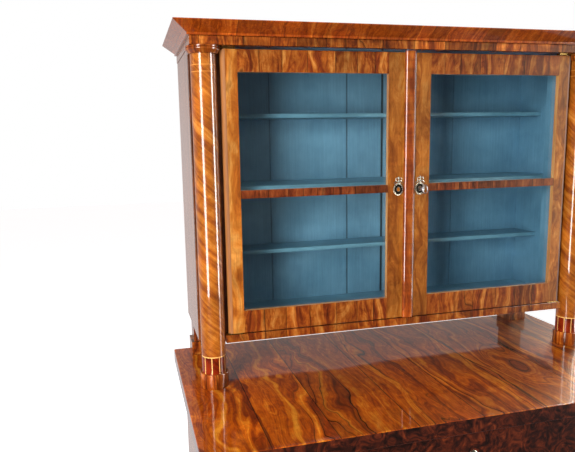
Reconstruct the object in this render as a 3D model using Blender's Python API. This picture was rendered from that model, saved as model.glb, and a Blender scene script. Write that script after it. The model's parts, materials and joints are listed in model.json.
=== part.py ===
"""A secretary desk: a writing commode with a glazed cabinet that stands on two columns and two posts.

Metres, +Z up, +X to the right, the front towards -Y. The origin is on the floor under the middle.
Every size is a named value here or is worked out from one. A moving piece hangs on an
empty on its joint's axis.
"""

import math

import bmesh
import bpy
from mathutils import Matrix, Vector

# ---------------------------------------------------------------- driving sizes
FIT = 0.0003  # gap left between pieces that touch
ROUND_STEPS = 32  # sides of a turned piece

# the desk top
DESK_WIDTH = 1.197
DESK_DEPTH = 0.625
DESK_HEIGHT = 0.880
TOP_THICKNESS = 0.036
TOP_SIDE_OVERHANG = 0.0295
TOP_FRONT_OVERHANG = 0.010

# the commode below it
SIDE_THICKNESS = 0.022
BACK_THICKNESS = 0.012
BACK_REBATE = 0.010
BOARD_THICKNESS = 0.018
FOOT_HEIGHT = 0.050
FOOT_TOP = 0.074
FOOT_BOTTOM = 0.058
PLINTH_HEIGHT = 0.070
FRONT_RECESS = 0.0605  # from the writing drawer's face back to the lower drawers' faces
STILE_WIDTH = 0.0635
STILE_THICKNESS = 0.022

# the writing drawer with its fall front
WRITING_HEIGHT = 0.182
FALL_THICKNESS = 0.022
FALL_GAP = 0.0005
FALL_TOP_GAP = 0.002
TRAY_RAIL_HEIGHT = 0.0175
TRAY_DEPTH = 0.480
TRAY_WALL = 0.018
TRAY_SIDE_GAP = 0.0015
TRAY_TOP_GAP = 0.006
TRAY_BOTTOM = 0.018
STAY_RADIUS = 0.125
STAY_WIDTH = 0.010
STAY_THICKNESS = 0.003
STAY_SLOT_GAP = 0.001

# the pigeonholes in the writing drawer
GALLERY_DEPTH = 0.183
GALLERY_HEIGHT = 0.128
GALLERY_WALL = 0.006
GALLERY_END_BAY = 0.250
GALLERY_MIDDLE_BAYS = 3
SMALL_DRAWER_HEIGHT = 0.056
SMALL_DRAWER_WALL = 0.005
SMALL_DRAWER_GAP = 0.0008
SMALL_KNOB_RADIUS = 0.006
SMALL_KNOB_LENGTH = 0.012

# the two lower drawers
DRAWER_FRONT_THICKNESS = 0.020
DRAWER_GAP = 0.002
DRAWER_WALL = 0.012
DRAWER_BOTTOM = 0.008
DRAWER_DEPTH = 0.490
DRAWER_LOWER_BY = 0.022  # how far the drawer's sides stop below its front's top edge
DRAWER_BOX_INSET = 0.0035
GUIDE_HEIGHT = 0.012

# the glazed cabinet
CABINET_SET_IN = 0.046  # from the desk top's end to the cabinet's side
CABINET_SIDE = 0.020
DOOR_SET_BACK = 0.296  # from the back of the desk top to the doors' faces
CABINET_LIFT = 0.107  # the cabinet's underside above the desk top
CABINET_RAIL = 0.0195
CABINET_FLOOR_TOP = 0.130
CABINET_CEILING = 0.016
CABINET_BACK_FACE = 0.2735  # from the doors' faces to the face of the back boards
CABINET_BACK_THICKNESS = 0.012
FRIEZE_BOTTOM = 0.818
FRIEZE_HEIGHT = 0.0196
FRIEZE_FORWARD = 0.0215  # how far the frieze stands in front of the doors
FRIEZE_THICKNESS = 0.040
FRIEZE_PROUD = 0.0015  # how far the frieze stands out from the cabinet's sides
CORNICE_BEAD = 0.005
CORNICE_BEAD_OUT = 0.0056
CORNICE_CANT = 0.0214
CORNICE_CANT_OUT = 0.0315
CORNICE_LIP = 0.0024
CORNICE_INSIDE = 0.022
CORNER_STILE = 0.0975  # from the cabinet's side to the inner edge of the stile that the door shuts against
BOARD_JOINTS = (-0.300, -0.063, 0.0505, 0.290)
BOARD_JOINT_WIDTH = 0.003
BOARD_JOINT_DEPTH = 0.0025

# the shelves
SHELF_TOPS = (0.303, 0.488, 0.674)
SHELF_DEPTHS = (0.0955, 0.2025, 0.0955)
SHELF_THICKNESS = 0.011

# the doors
DOOR_THICKNESS = 0.022
DOOR_BOTTOM = 0.130
DOOR_TOP = 0.813
DOOR_FROM_COLUMN = 0.0385  # from a column's axis to the door's hanging edge
DOOR_GAP = 0.001
HANGING_STILE = 0.0396
GLASS_INNER = 0.0583
GLASS_BOTTOM = 0.1858
GLASS_TOP = 0.7613
BAR_BOTTOM = 0.4642
BAR_TOP = 0.4840
GLASS_BACK_OF_FACE = 0.012
GLASS_THICKNESS = 0.003
GLASS_REBATE = 0.007
ASTRAGAL_HALF = 0.0147
ASTRAGAL_PROUD = 0.0075
ASTRAGAL_TOP = 0.8165
DOOR_SWING_CLEARANCE = 0.001

# the doors' pivots
PIVOT_PIN_RADIUS = 0.003
PIVOT_BORE_GAP = 0.0004
PIVOT_PIN_LENGTH = 0.012
PIVOT_PLATE_LENGTH = 0.036
PIVOT_PLATE_END = 0.0105  # from the pin out to the plate's end
PIVOT_PLATE_WIDTH = 0.014
PIVOT_PLATE_THICKNESS = 0.002

# the lock, its key and the keyhole plates
LOCK_X = 0.0318
LOCK_Z = 0.4715
LOCK_WIDTH = 0.039
LOCK_BELOW_KEY = 0.014
LOCK_ABOVE_KEY = 0.024
LOCK_DEPTH = 0.011
LOCK_WALL = 0.002
BOLT_HEIGHT = 0.010
BOLT_DEPTH = 0.006
BOLT_LENGTH = 0.027
BOLT_GAP = 0.0004
KEY_SHAFT_RADIUS = 0.0024
KEY_HOLE_RADIUS = 0.0034
KEY_BIT = 0.0070
KEY_BIT_THICKNESS = 0.002
KEY_BOW_WIDTH = 0.024
KEY_BOW_LENGTH = 0.028
KEY_BOW_WIRE = 0.0042
KEY_OUT = 0.012  # the shaft's length in front of the plate, up to the bow
PLATE_WIDTH = 0.029
PLATE_HEIGHT = 0.034
PLATE_CREST_WIDTH = 0.024
PLATE_CREST_HEIGHT = 0.017
PLATE_THICKNESS = 0.0016
LEFT_PLATE_X = -0.0293

# the columns
COLUMN_SET_IN = 0.0325  # from the cabinet's side to the column's axis
BASE_COLUMN_SET_IN = 0.049  # from the commode's side to the column's axis
COLUMN_RADIUS = 0.030
COLUMN_BEHIND_DOOR_FACE = 0.0095
CAPITAL_RADIUS = 0.0405
CAPITAL_HEIGHT = 0.0172
CAPITAL_BOTTOM_RADIUS = 0.0335
CAPITAL_TOP_RADIUS = 0.0375
DRUM_RADIUS = 0.0353
DRUM_HEIGHT = 0.0372
DRUM_TOP_EASE = 0.0015
BASE_CAPITAL_RADIUS = 0.0385

# the posts under the cabinet's back corners
POST_WIDTH = 0.0445
POST_DEPTH = 0.0600
POST_SET_IN = 0.008
POST_BLOCK_HEIGHT = 0.0386
POST_BLOCK_PROUD = 0.0070

# ---------------------------------------------------------------- places worked out from the sizes
BACK_Y = DESK_DEPTH / 2
FRONT_Y = -DESK_DEPTH / 2
TOP_UNDERSIDE = DESK_HEIGHT - TOP_THICKNESS
BASE_HALF = DESK_WIDTH / 2 - TOP_SIDE_OVERHANG
BASE_INSIDE = BASE_HALF - SIDE_THICKNESS
FACE_Y = FRONT_Y + TOP_FRONT_OVERHANG
LOWER_FACE_Y = FACE_Y + FRONT_RECESS
FLOOR_TOP = FOOT_HEIGHT + PLINTH_HEIGHT
SOFFIT_TOP = TOP_UNDERSIDE - WRITING_HEIGHT
SOFFIT_BOTTOM = SOFFIT_TOP - BOARD_THICKNESS
BASE_BACK_FACE = BACK_Y - BACK_REBATE - BACK_THICKNESS
STILE_INNER = BASE_INSIDE - STILE_WIDTH
DRAWER_HALF = STILE_INNER - DRAWER_GAP
BASE_COLUMN_Y = LOWER_FACE_Y - COLUMN_RADIUS - 0.0015
MIDDLE_BOARD_TOP = (FLOOR_TOP + SOFFIT_BOTTOM + BOARD_THICKNESS) / 2

FALL_BACK_Y = FACE_Y + FALL_THICKNESS
TRAY_FRONT_Y = FALL_BACK_Y + FALL_GAP
TRAY_Z = SOFFIT_TOP + DRAWER_GAP
FALL_BOTTOM = TRAY_Z + TRAY_RAIL_HEIGHT + FALL_GAP
FALL_TOP = TOP_UNDERSIDE - FALL_TOP_GAP
FALL_AXIS_Y = FACE_Y + FALL_THICKNESS / 2
FALL_AXIS_Z = FALL_BOTTOM + FALL_THICKNESS / 2
WRITING_SURFACE = FALL_BOTTOM + FALL_THICKNESS
TRAY_HALF = BASE_INSIDE - TRAY_SIDE_GAP
TRAY_BACK_Y = TRAY_FRONT_Y + TRAY_DEPTH
TRAY_TOP = TOP_UNDERSIDE - TRAY_TOP_GAP
STAY_X = TRAY_HALF - TRAY_WALL / 2

BASE_COLUMN_X = BASE_HALF - BASE_COLUMN_SET_IN

CABINET_HALF_WIDTH = DESK_WIDTH / 2 - CABINET_SET_IN
COLUMN_X = CABINET_HALF_WIDTH - COLUMN_SET_IN
POST_OUTER = CABINET_HALF_WIDTH - POST_SET_IN
POST_FACE_INNER = CABINET_HALF_WIDTH - CORNER_STILE
DOOR_HALF_SPAN = COLUMN_X - DOOR_FROM_COLUMN
GLASS_OUTER = DOOR_HALF_SPAN - HANGING_STILE
DOOR_Y = BACK_Y - DOOR_SET_BACK
DOOR_BACK_Y = DOOR_Y + DOOR_THICKNESS
CABINET_BACK_Y = DOOR_Y + CABINET_BACK_FACE
CABINET_INSIDE = CABINET_HALF_WIDTH - CABINET_SIDE
COLUMN_Y = DOOR_Y + COLUMN_BEHIND_DOOR_FACE
STILE_BACK_Y = COLUMN_Y + COLUMN_RADIUS + 0.0015 + 0.022
PIVOT_X = DOOR_HALF_SPAN - DOOR_THICKNESS / 2
PIVOT_Y = DOOR_Y + DOOR_THICKNESS / 2
FRIEZE_HALF = CABINET_HALF_WIDTH + FRIEZE_PROUD
FRIEZE_Y = DOOR_Y - FRIEZE_FORWARD
MEETING_X = ASTRAGAL_HALF  # the doors meet at the right edge of the cover strip
CUT = 0.002  # how far a cutter runs past the face that it cuts


def above(height):
    """A height over the desk top, as a height over the floor."""
    return DESK_HEIGHT + height


# ---------------------------------------------------------------- tools
def clear_scene():
    for thing in list(bpy.data.objects):
        bpy.data.objects.remove(thing, do_unlink=True)


def make_material(name, colour, roughness, metallic=0.0, alpha=1.0):
    material = bpy.data.materials.new(name)
    material.use_nodes = True
    shader = material.node_tree.nodes["Principled BSDF"]
    shader.inputs["Base Color"].default_value = (*colour, 1.0)
    shader.inputs["Roughness"].default_value = roughness
    shader.inputs["Metallic"].default_value = metallic
    shader.inputs["Alpha"].default_value = alpha
    material.diffuse_color = (*colour, alpha)
    return material


def finish_mesh(mesh_builder, name, material, centre):
    """Turns a bmesh in world places into an object whose origin is at centre."""
    bmesh.ops.recalc_face_normals(mesh_builder, faces=mesh_builder.faces)
    bmesh.ops.translate(mesh_builder, verts=mesh_builder.verts, vec=-Vector(centre))
    mesh = bpy.data.meshes.new(name)
    mesh_builder.to_mesh(mesh)
    mesh_builder.free()
    thing = bpy.data.objects.new(name, mesh)
    bpy.context.scene.collection.objects.link(thing)
    if material is not None:
        mesh.materials.append(material)
    thing.location = centre
    return thing


def block(name, low, high, material=None):
    """A board or block between two corners."""
    low, high = Vector(low), Vector(high)
    centre = (low + high) / 2
    builder = bmesh.new()
    bmesh.ops.create_cube(builder, size=1.0)
    bmesh.ops.scale(builder, verts=builder.verts, vec=high - low)
    bmesh.ops.translate(builder, verts=builder.verts, vec=centre)
    return finish_mesh(builder, name, material, centre)


def prism(name, outline, start, end, axis, material=None):
    """An outline pushed along an axis. Its two numbers are the other two axes, in X, Y, Z order."""
    builder = bmesh.new()
    corners = []
    for first, second in outline:
        place = [first, second]
        place.insert("XYZ".index(axis), start)
        corners.append(builder.verts.new(place))
    face = builder.faces.new(corners)
    pushed = bmesh.ops.extrude_face_region(builder, geom=[face])
    along = Vector([end - start if letter == axis else 0.0 for letter in "XYZ"])
    moved = [v for v in pushed["geom"] if isinstance(v, bmesh.types.BMVert)]
    bmesh.ops.translate(builder, verts=moved, vec=along)
    places = [v.co for v in builder.verts]
    centre = [(min(p[k] for p in places) + max(p[k] for p in places)) / 2 for k in range(3)]
    return finish_mesh(builder, name, material, centre)


def turned(name, profile, x, y, material=None):
    """A turned piece round a vertical axis, from (radius, height) points whose ends lie on the axis."""
    builder = bmesh.new()
    points = [builder.verts.new((radius, 0.0, height)) for radius, height in profile]
    edges = [builder.edges.new(pair) for pair in zip(points, points[1:])]
    bmesh.ops.spin(
        builder,
        geom=points + edges,
        axis=(0, 0, 1),
        cent=(0, 0, 0),
        angle=2 * math.pi,
        steps=ROUND_STEPS,
        use_merge=True,
    )
    bmesh.ops.remove_doubles(builder, verts=builder.verts, dist=1e-6)
    bmesh.ops.translate(builder, verts=builder.verts, vec=(x, y, 0))
    thing = finish_mesh(builder, name, material, (x, y, profile[-1][1]))
    thing.data.shade_smooth()
    thing.data.set_sharp_from_angle(angle=math.radians(35))
    return thing


def rod(name, radius, start, end, steps=16, material=None):
    """A round rod from one point to another."""
    start, end = Vector(start), Vector(end)
    builder = bmesh.new()
    turn = (end - start).to_track_quat("Z", "Y").to_matrix().to_4x4()
    place = Matrix.Translation((start + end) / 2) @ turn
    bmesh.ops.create_cone(
        builder,
        cap_ends=True,
        segments=steps,
        radius1=radius,
        radius2=radius,
        depth=(end - start).length,
        matrix=place,
    )
    return finish_mesh(builder, name, material, (start + end) / 2)


def boolean(thing, other, operation):
    """Cuts or joins with another object, which stays in the scene as a hidden helper."""
    other.hide_render = True
    other.display_type = "WIRE"
    modifier = thing.modifiers.new(f"{operation.lower()} {other.name}", "BOOLEAN")
    modifier.operation = operation
    modifier.object = other


def cut(thing, other):
    boolean(thing, other, "DIFFERENCE")


def unite(thing, other):
    boolean(thing, other, "UNION")


def joint(name, place):
    """An empty on a joint's axis. What it carries is parented to it."""
    empty = bpy.data.objects.new(name, None)
    bpy.context.scene.collection.objects.link(empty)
    empty.location = place
    empty.empty_display_size = 0.03
    return empty


def carry(parent, *children):
    """Parents objects to an empty, so that they stay where they are in the world."""
    bpy.context.view_layer.update()
    for child in children:
        child.parent = parent
        child.matrix_parent_inverse = parent.matrix_world.inverted()


def arc(centre, radius, first, last, steps):
    """Points along an arc, from one angle to another, in degrees."""
    angles = [math.radians(first + (last - first) * k / steps) for k in range(steps + 1)]
    return [(centre[0] + radius * math.cos(a), centre[1] + radius * math.sin(a)) for a in angles]


SIDES = (("left", -1), ("right", 1))


def span(side, near, far):
    """Two places measured from the centre line, as a low and a high X on one side."""
    return (near, far) if side > 0 else (-far, -near)


# ---------------------------------------------------------------- the commode
def make_desk_top(wood):
    low = (-DESK_WIDTH / 2, FRONT_Y, TOP_UNDERSIDE)
    top = block("desk_top", low, (DESK_WIDTH / 2, BACK_Y, DESK_HEIGHT), wood)
    edge = top.modifiers.new("eased edge", "BEVEL")
    edge.width = 0.0015
    edge.segments = 1


def make_base_sides(wood):
    """A side stands on the feet, steps forward under the writing drawer, and carries the front stile."""
    outline = (
        (LOWER_FACE_Y, FOOT_HEIGHT + FIT),
        (BACK_Y, FOOT_HEIGHT + FIT),
        (BACK_Y, TOP_UNDERSIDE - FIT),
        (TRAY_FRONT_Y, TOP_UNDERSIDE - FIT),
        (TRAY_FRONT_Y, SOFFIT_TOP + FIT),
        (LOWER_FACE_Y, SOFFIT_TOP + FIT),
    )
    for name, side in SIDES:
        start, end = span(side, BASE_INSIDE, BASE_HALF)
        panel = prism(f"base_side_{name}", outline, start, end, "X", wood)
        near, far = span(side, STILE_INNER, BASE_INSIDE + SIDE_THICKNESS / 2)
        low = (near, LOWER_FACE_Y, FLOOR_TOP + FIT)
        high = (far, LOWER_FACE_Y + STILE_THICKNESS, SOFFIT_BOTTOM - FIT)
        unite(panel, block(f"stile_{name}", low, high))


def make_base_boards(wood, front_wood):
    """The back, the floor, the plinth and the two boards that the drawers run on."""
    inside = BASE_INSIDE - FIT
    back_low = (-inside, BASE_BACK_FACE, FOOT_HEIGHT + FIT)
    block("base_back", back_low, (inside, BASE_BACK_FACE + BACK_THICKNESS, TOP_UNDERSIDE - FIT), wood)
    plinth_low = (-BASE_HALF, FACE_Y, FOOT_HEIGHT + FIT)
    block("plinth_front", plinth_low, (BASE_HALF, LOWER_FACE_Y - FIT, FLOOR_TOP), front_wood)

    reach = STILE_INNER
    for name, top in (("base_floor", FLOOR_TOP), ("drawer_board", MIDDLE_BOARD_TOP)):
        behind = LOWER_FACE_Y + (0 if name == "base_floor" else STILE_THICKNESS) + FIT
        outline = [(-inside, behind), (inside, behind)]
        if name == "drawer_board":
            front = LOWER_FACE_Y
            outline = [(-inside, behind), (-reach + FIT, behind), (-reach + FIT, front)]
            outline += [(reach - FIT, front), (reach - FIT, behind), (inside, behind)]
        outline += [(inside, BASE_BACK_FACE - FIT), (-inside, BASE_BACK_FACE - FIT)]
        board = prism(name, outline, top - BOARD_THICKNESS, top, "Z", front_wood)
        for side_name, side in SIDES:
            near, far = span(side, DRAWER_HALF - DRAWER_BOX_INSET + 0.0015, inside - 0.001)
            low = (near, LOWER_FACE_Y + STILE_THICKNESS + 0.001, top - BOARD_THICKNESS / 2)
            high = (far, LOWER_FACE_Y + DRAWER_DEPTH, top + GUIDE_HEIGHT)
            unite(board, block(f"{name}_guide_{side_name}", low, high))

    soffit = (
        (-BASE_HALF, FACE_Y),
        (BASE_HALF, FACE_Y),
        (BASE_HALF, LOWER_FACE_Y - FIT),
        (inside, LOWER_FACE_Y - FIT),
        (inside, BASE_BACK_FACE - FIT),
        (-inside, BASE_BACK_FACE - FIT),
        (-inside, LOWER_FACE_Y - FIT),
        (-BASE_HALF, LOWER_FACE_Y - FIT),
    )
    prism("writing_drawer_board", soffit, SOFFIT_BOTTOM, SOFFIT_TOP, "Z", front_wood)


def make_feet(wood):
    """Four square feet that taper downwards."""
    reach_x = BASE_HALF - FOOT_TOP / 2
    for end, y in (("front", FACE_Y + FOOT_TOP / 2), ("back", BACK_Y - FOOT_TOP / 2 - 0.002)):
        for name, side in SIDES:
            builder = bmesh.new()
            bmesh.ops.create_cone(
                builder,
                cap_ends=True,
                segments=4,
                radius1=FOOT_BOTTOM / math.sqrt(2),
                radius2=FOOT_TOP / math.sqrt(2),
                depth=FOOT_HEIGHT,
                matrix=Matrix.Rotation(math.radians(45), 4, "Z"),
            )
            place = (side * reach_x, y, FOOT_HEIGHT / 2)
            bmesh.ops.translate(builder, verts=builder.verts, vec=place)
            finish_mesh(builder, f"foot_{end}_{name}", wood, place)


def capital_profile(top, radius):
    """The turned ring at a column's head, from its middle down to where it meets the shaft."""
    widest = top - 0.30 * CAPITAL_HEIGHT
    return [
        (CAPITAL_TOP_RADIUS, top),
        (radius, widest + 0.0012),
        (radius, widest - 0.0012),
        (CAPITAL_BOTTOM_RADIUS, top - CAPITAL_HEIGHT),
    ]


def make_base_columns(wood):
    """Full columns in front of the lower drawers, planed flat where they meet the stiles."""
    low, high = FLOOR_TOP + FIT, SOFFIT_BOTTOM - FIT
    profile = [(0.0, high), *capital_profile(high, BASE_CAPITAL_RADIUS)]
    profile += [(COLUMN_RADIUS, high - CAPITAL_HEIGHT), (COLUMN_RADIUS, low + DRUM_HEIGHT)]
    profile += [(DRUM_RADIUS, low + DRUM_HEIGHT - DRUM_TOP_EASE), (DRUM_RADIUS, low), (0.0, low)]
    for name, side in SIDES:
        column = turned(f"base_column_{name}", profile, side * BASE_COLUMN_X, BASE_COLUMN_Y, wood)
        flat_low = (side * BASE_COLUMN_X - 0.1, LOWER_FACE_Y - FIT, low - CUT)
        flat_high = (side * BASE_COLUMN_X + 0.1, LOWER_FACE_Y + 0.1, high + CUT)
        cut(column, block(f"base_column_flat_{name}", flat_low, flat_high))
        near, far = span(side, STILE_INNER - 0.1, STILE_INNER)
        cut(
            column,
            block(
                f"base_column_drawer_way_{name}",
                (near, BASE_COLUMN_Y - 0.1, low - CUT),
                (far, BASE_COLUMN_Y + 0.1, high + CUT),
            ),
        )


# ---------------------------------------------------------------- the lower drawers
def hollow_box(name, low, high, wall, bottom, material):
    """An open-topped box: its sides, its back and front and its bottom, joined."""
    box = block(name, low, high, material)
    inner_low = (low[0] + wall, low[1] + wall, low[2] + bottom)
    inner_high = (high[0] - wall, high[1] - wall, high[2] + CUT)
    cut(box, block(f"{name}_hollow", inner_low, inner_high))
    return box


def make_lower_drawers(front_wood, box_wood):
    spaces = (
        ("lower_drawer", FLOOR_TOP, MIDDLE_BOARD_TOP - BOARD_THICKNESS),
        ("middle_drawer", MIDDLE_BOARD_TOP, SOFFIT_BOTTOM),
    )
    for name, bottom, top in spaces:
        low = (-DRAWER_HALF, LOWER_FACE_Y, bottom + DRAWER_GAP)
        high = (DRAWER_HALF, LOWER_FACE_Y + DRAWER_FRONT_THICKNESS, top - DRAWER_GAP)
        front = block(f"{name}_front", low, high, front_wood)
        half = DRAWER_HALF - DRAWER_BOX_INSET
        box_low = (-half, high[1] + FIT, bottom + FIT)
        box_high = (half, LOWER_FACE_Y + DRAWER_DEPTH, top - DRAWER_LOWER_BY)
        box = hollow_box(f"{name}_box", box_low, box_high, DRAWER_WALL, DRAWER_BOTTOM, box_wood)
        carry(joint(f"{name}_slide", (0, LOWER_FACE_Y, (bottom + top) / 2)), front, box)


# ---------------------------------------------------------------- the writing drawer
def make_tray(box_wood):
    """The writing drawer without its front: sides, back, writing board and the rail under the fall."""
    low = (-TRAY_HALF, TRAY_FRONT_Y, TRAY_Z)
    tray = block("writing_tray", low, (TRAY_HALF, TRAY_BACK_Y, TRAY_TOP), box_wood)
    inside = TRAY_HALF - TRAY_WALL
    hollow_low = (-inside, TRAY_FRONT_Y - CUT, WRITING_SURFACE)
    cut(tray, block("tray_hollow", hollow_low, (inside, TRAY_BACK_Y - 0.012, TRAY_TOP + CUT)))
    under_low = (-inside, TRAY_FRONT_Y + 0.030, TRAY_Z - CUT)
    under_high = (inside, TRAY_BACK_Y + CUT, WRITING_SURFACE - TRAY_BOTTOM)
    cut(tray, block("tray_underside", under_low, under_high))
    rail_low = (-BASE_HALF, FACE_Y, TRAY_Z)
    rail_high = (BASE_HALF, FALL_BACK_Y, TRAY_Z + TRAY_RAIL_HEIGHT)
    unite(tray, block("tray_rail", rail_low, rail_high))
    tongue_low = (-inside, FALL_BACK_Y - 0.005, TRAY_Z)
    tongue_high = (inside, TRAY_FRONT_Y + 0.010, TRAY_Z + TRAY_RAIL_HEIGHT)
    unite(tray, block("tray_rail_tongue", tongue_low, tongue_high))

    axis = (FALL_AXIS_Y, FALL_AXIS_Z)
    half_band = STAY_WIDTH / 2 + STAY_SLOT_GAP
    way = arc(axis, STAY_RADIUS + half_band, -9, 96, 18)
    way += arc(axis, STAY_RADIUS - half_band, 96, -9, 18)
    half_slot = STAY_THICKNESS / 2 + STAY_SLOT_GAP / 2
    for name, side in SIDES:
        middle = side * STAY_X
        slot = prism(f"stay_slot_{name}", way, middle - half_slot, middle + half_slot, "X")
        cut(tray, slot)
    return tray


def make_fall(front_wood):
    """The fall front. Its lower edge is a half round on the hinge line, so it turns in place."""
    radius = FALL_THICKNESS / 2
    lower_edge = arc((FALL_AXIS_Y, FALL_AXIS_Z), radius, 180, 360, 10)
    outline = [(FACE_Y, FALL_TOP), *lower_edge, (FALL_BACK_Y, FALL_TOP)]
    return prism("fall_front", outline, -BASE_HALF, BASE_HALF, "X", front_wood)


def make_stays(brass):
    """Two brass quadrants on the fall. Each runs in a slot in the tray's side and ends in a stop."""
    axis = (FALL_AXIS_Y, FALL_AXIS_Z)
    half = STAY_WIDTH / 2
    head = math.degrees(math.acos((FALL_BACK_Y + FIT - FALL_AXIS_Y) / (STAY_RADIUS - half)))
    band = arc(axis, STAY_RADIUS + half, -6, head, 16)
    band += arc(axis, STAY_RADIUS - half, head, -6, 16)
    stays = []
    for name, side in SIDES:
        middle = side * STAY_X
        start, end = middle - STAY_THICKNESS / 2, middle + STAY_THICKNESS / 2
        stay = prism(f"stay_{name}", band, start, end, "X", brass)
        trim_low = (middle - 0.01, FALL_AXIS_Y - 0.05, FALL_AXIS_Z)
        trim_high = (middle + 0.01, FALL_BACK_Y + FIT, FALL_TOP)
        cut(stay, block(f"stay_trim_{name}", trim_low, trim_high))
        stays.append(stay)
    return stays


def gallery_bays():
    """The pigeonholes' places as (name, left, right), from the left end to the right end."""
    half = TRAY_HALF - TRAY_WALL - 0.0015
    inner = half - GALLERY_WALL
    left_end, right_end = -inner + GALLERY_END_BAY, inner - GALLERY_END_BAY
    wide = right_end - left_end - (GALLERY_MIDDLE_BAYS + 1) * GALLERY_WALL
    bay = wide / GALLERY_MIDDLE_BAYS
    places = [("left", -inner, left_end)]
    for k in range(GALLERY_MIDDLE_BAYS):
        start = left_end + GALLERY_WALL + k * (bay + GALLERY_WALL)
        places.append((f"middle_{k + 1}", start, start + bay))
    return [*places, ("right", right_end, inner)]


def make_gallery(wood, brass_wood):
    """A case of pigeonholes across the back of the writing drawer, with a small drawer at each end."""
    half = TRAY_HALF - TRAY_WALL - 0.0015
    back = TRAY_BACK_Y - 0.012 - FIT
    front = back - GALLERY_DEPTH
    floor = WRITING_SURFACE + FIT
    top = floor + GALLERY_HEIGHT
    case = block("gallery_case", (-half, front, floor), (half, back, top), wood)
    deep = back - GALLERY_WALL
    hole_floor = floor + GALLERY_WALL
    drawers = []
    for name, left, right in gallery_bays():
        low_top = top - GALLERY_WALL
        if name in ("left", "right"):
            split = hole_floor + SMALL_DRAWER_HEIGHT
            hole_low = (left, front - CUT, split + GALLERY_WALL)
            cut(case, block(f"hole_{name}_top", hole_low, (right, deep, low_top)))
            low_top = split
            drawers.append(make_small_drawer(name, left, right, front, deep, hole_floor, split, brass_wood))
        cut(case, block(f"hole_{name}", (left, front - CUT, hole_floor), (right, deep, low_top)))
    return case, drawers


def make_small_drawer(name, left, right, front, deep, floor, top, wood):
    """A small drawer: a box with a turned knob on its front."""
    gap, wall = SMALL_DRAWER_GAP, SMALL_DRAWER_WALL
    low = (left + gap, front, floor + FIT)
    high = (right - gap, deep - gap, top - gap)
    drawer = hollow_box(f"small_drawer_{name}", low, high, wall, wall, wood)
    middle = ((low[0] + high[0]) / 2, (low[2] + high[2]) / 2)
    tip = (middle[0], front - SMALL_KNOB_LENGTH, middle[1])
    knob = rod(f"small_knob_{name}", SMALL_KNOB_RADIUS, (middle[0], front + wall / 2, middle[1]), tip, 12)
    unite(drawer, knob)
    return drawer


def make_writing_drawer(front_wood, box_wood, gallery_wood, brass):
    tray = make_tray(box_wood)
    fall = make_fall(front_wood)
    stays = make_stays(brass)
    case, drawers = make_gallery(gallery_wood, gallery_wood)
    slide = joint("writing_drawer_slide", (0, FACE_Y, TRAY_Z))
    carry(slide, tray, case)
    turn = joint("fall_turn", (0, FALL_AXIS_Y, FALL_AXIS_Z))
    carry(slide, turn)
    carry(turn, fall, *stays)
    for drawer in drawers:
        small = joint(f"{drawer.name}_slide", drawer.location)
        carry(slide, small)
        carry(small, drawer)


# ---------------------------------------------------------------- the glazed cabinet
def make_cabinet_sides(wood):
    """A side panel with the corner stile that the door closes against."""
    low_z, high_z = above(CABINET_LIFT), above(FRIEZE_BOTTOM) - FIT
    panel_front = COLUMN_Y + COLUMN_RADIUS + 0.0015
    stile_edge = COLUMN_X - COLUMN_RADIUS - 0.0015
    outline = (
        (CABINET_HALF_WIDTH, panel_front),
        (CABINET_HALF_WIDTH, BACK_Y),
        (CABINET_INSIDE, BACK_Y),
        (CABINET_INSIDE, STILE_BACK_Y),
        (POST_FACE_INNER, STILE_BACK_Y),
        (POST_FACE_INNER, DOOR_BACK_Y + 0.001),
        (stile_edge, DOOR_BACK_Y + 0.001),
        (stile_edge, panel_front),
    )
    for name, side in SIDES:
        mirrored = [(side * x, y) for x, y in outline]
        prism(f"cabinet_side_{name}", mirrored, low_z, high_z, "Z", wood)


def make_cabinet_boards(wood, painted):
    """The back boards, the floor with its front rail, and the ceiling."""
    inside = CABINET_INSIDE - FIT
    low_z, high_z = above(CABINET_LIFT) + 0.005, above(FRIEZE_BOTTOM + FRIEZE_HEIGHT)
    back_low = (-inside, CABINET_BACK_Y, low_z)
    back_high = (inside, CABINET_BACK_Y + CABINET_BACK_THICKNESS, high_z)
    back = block("cabinet_back", back_low, back_high, painted)
    for k, x in enumerate(BOARD_JOINTS):
        half = BOARD_JOINT_WIDTH / 2
        low = (x - half, CABINET_BACK_Y - CUT, low_z - CUT)
        high = (x + half, CABINET_BACK_Y + BOARD_JOINT_DEPTH, high_z + CUT)
        cut(back, block(f"back_joint_{k + 1}", low, high))

    floor_top = above(CABINET_FLOOR_TOP)
    behind = STILE_BACK_Y + FIT
    stile = POST_FACE_INNER - FIT
    front, rear = DOOR_BACK_Y + 0.001, CABINET_BACK_Y - FIT
    outline = [(-stile, front), (stile, front), (stile, behind), (inside, behind)]
    outline += [(inside, rear), (-inside, rear), (-inside, behind), (-stile, behind)]
    prism("cabinet_floor", outline, above(CABINET_LIFT) + 0.005, floor_top, "Z", painted)
    rail_half = COLUMN_X - COLUMN_RADIUS - 0.0015
    rail_low = (-rail_half, DOOR_Y, above(CABINET_LIFT))
    block("cabinet_rail", rail_low, (rail_half, DOOR_BACK_Y, above(CABINET_LIFT + CABINET_RAIL)), wood)

    ceiling_low = (-inside, FRIEZE_Y + FRIEZE_THICKNESS + FIT, above(FRIEZE_BOTTOM) + 0.001)
    ceiling_high = (inside, CABINET_BACK_Y - FIT, above(FRIEZE_BOTTOM) + 0.001 + CABINET_CEILING)
    block("cabinet_ceiling", ceiling_low, ceiling_high, painted)


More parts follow.
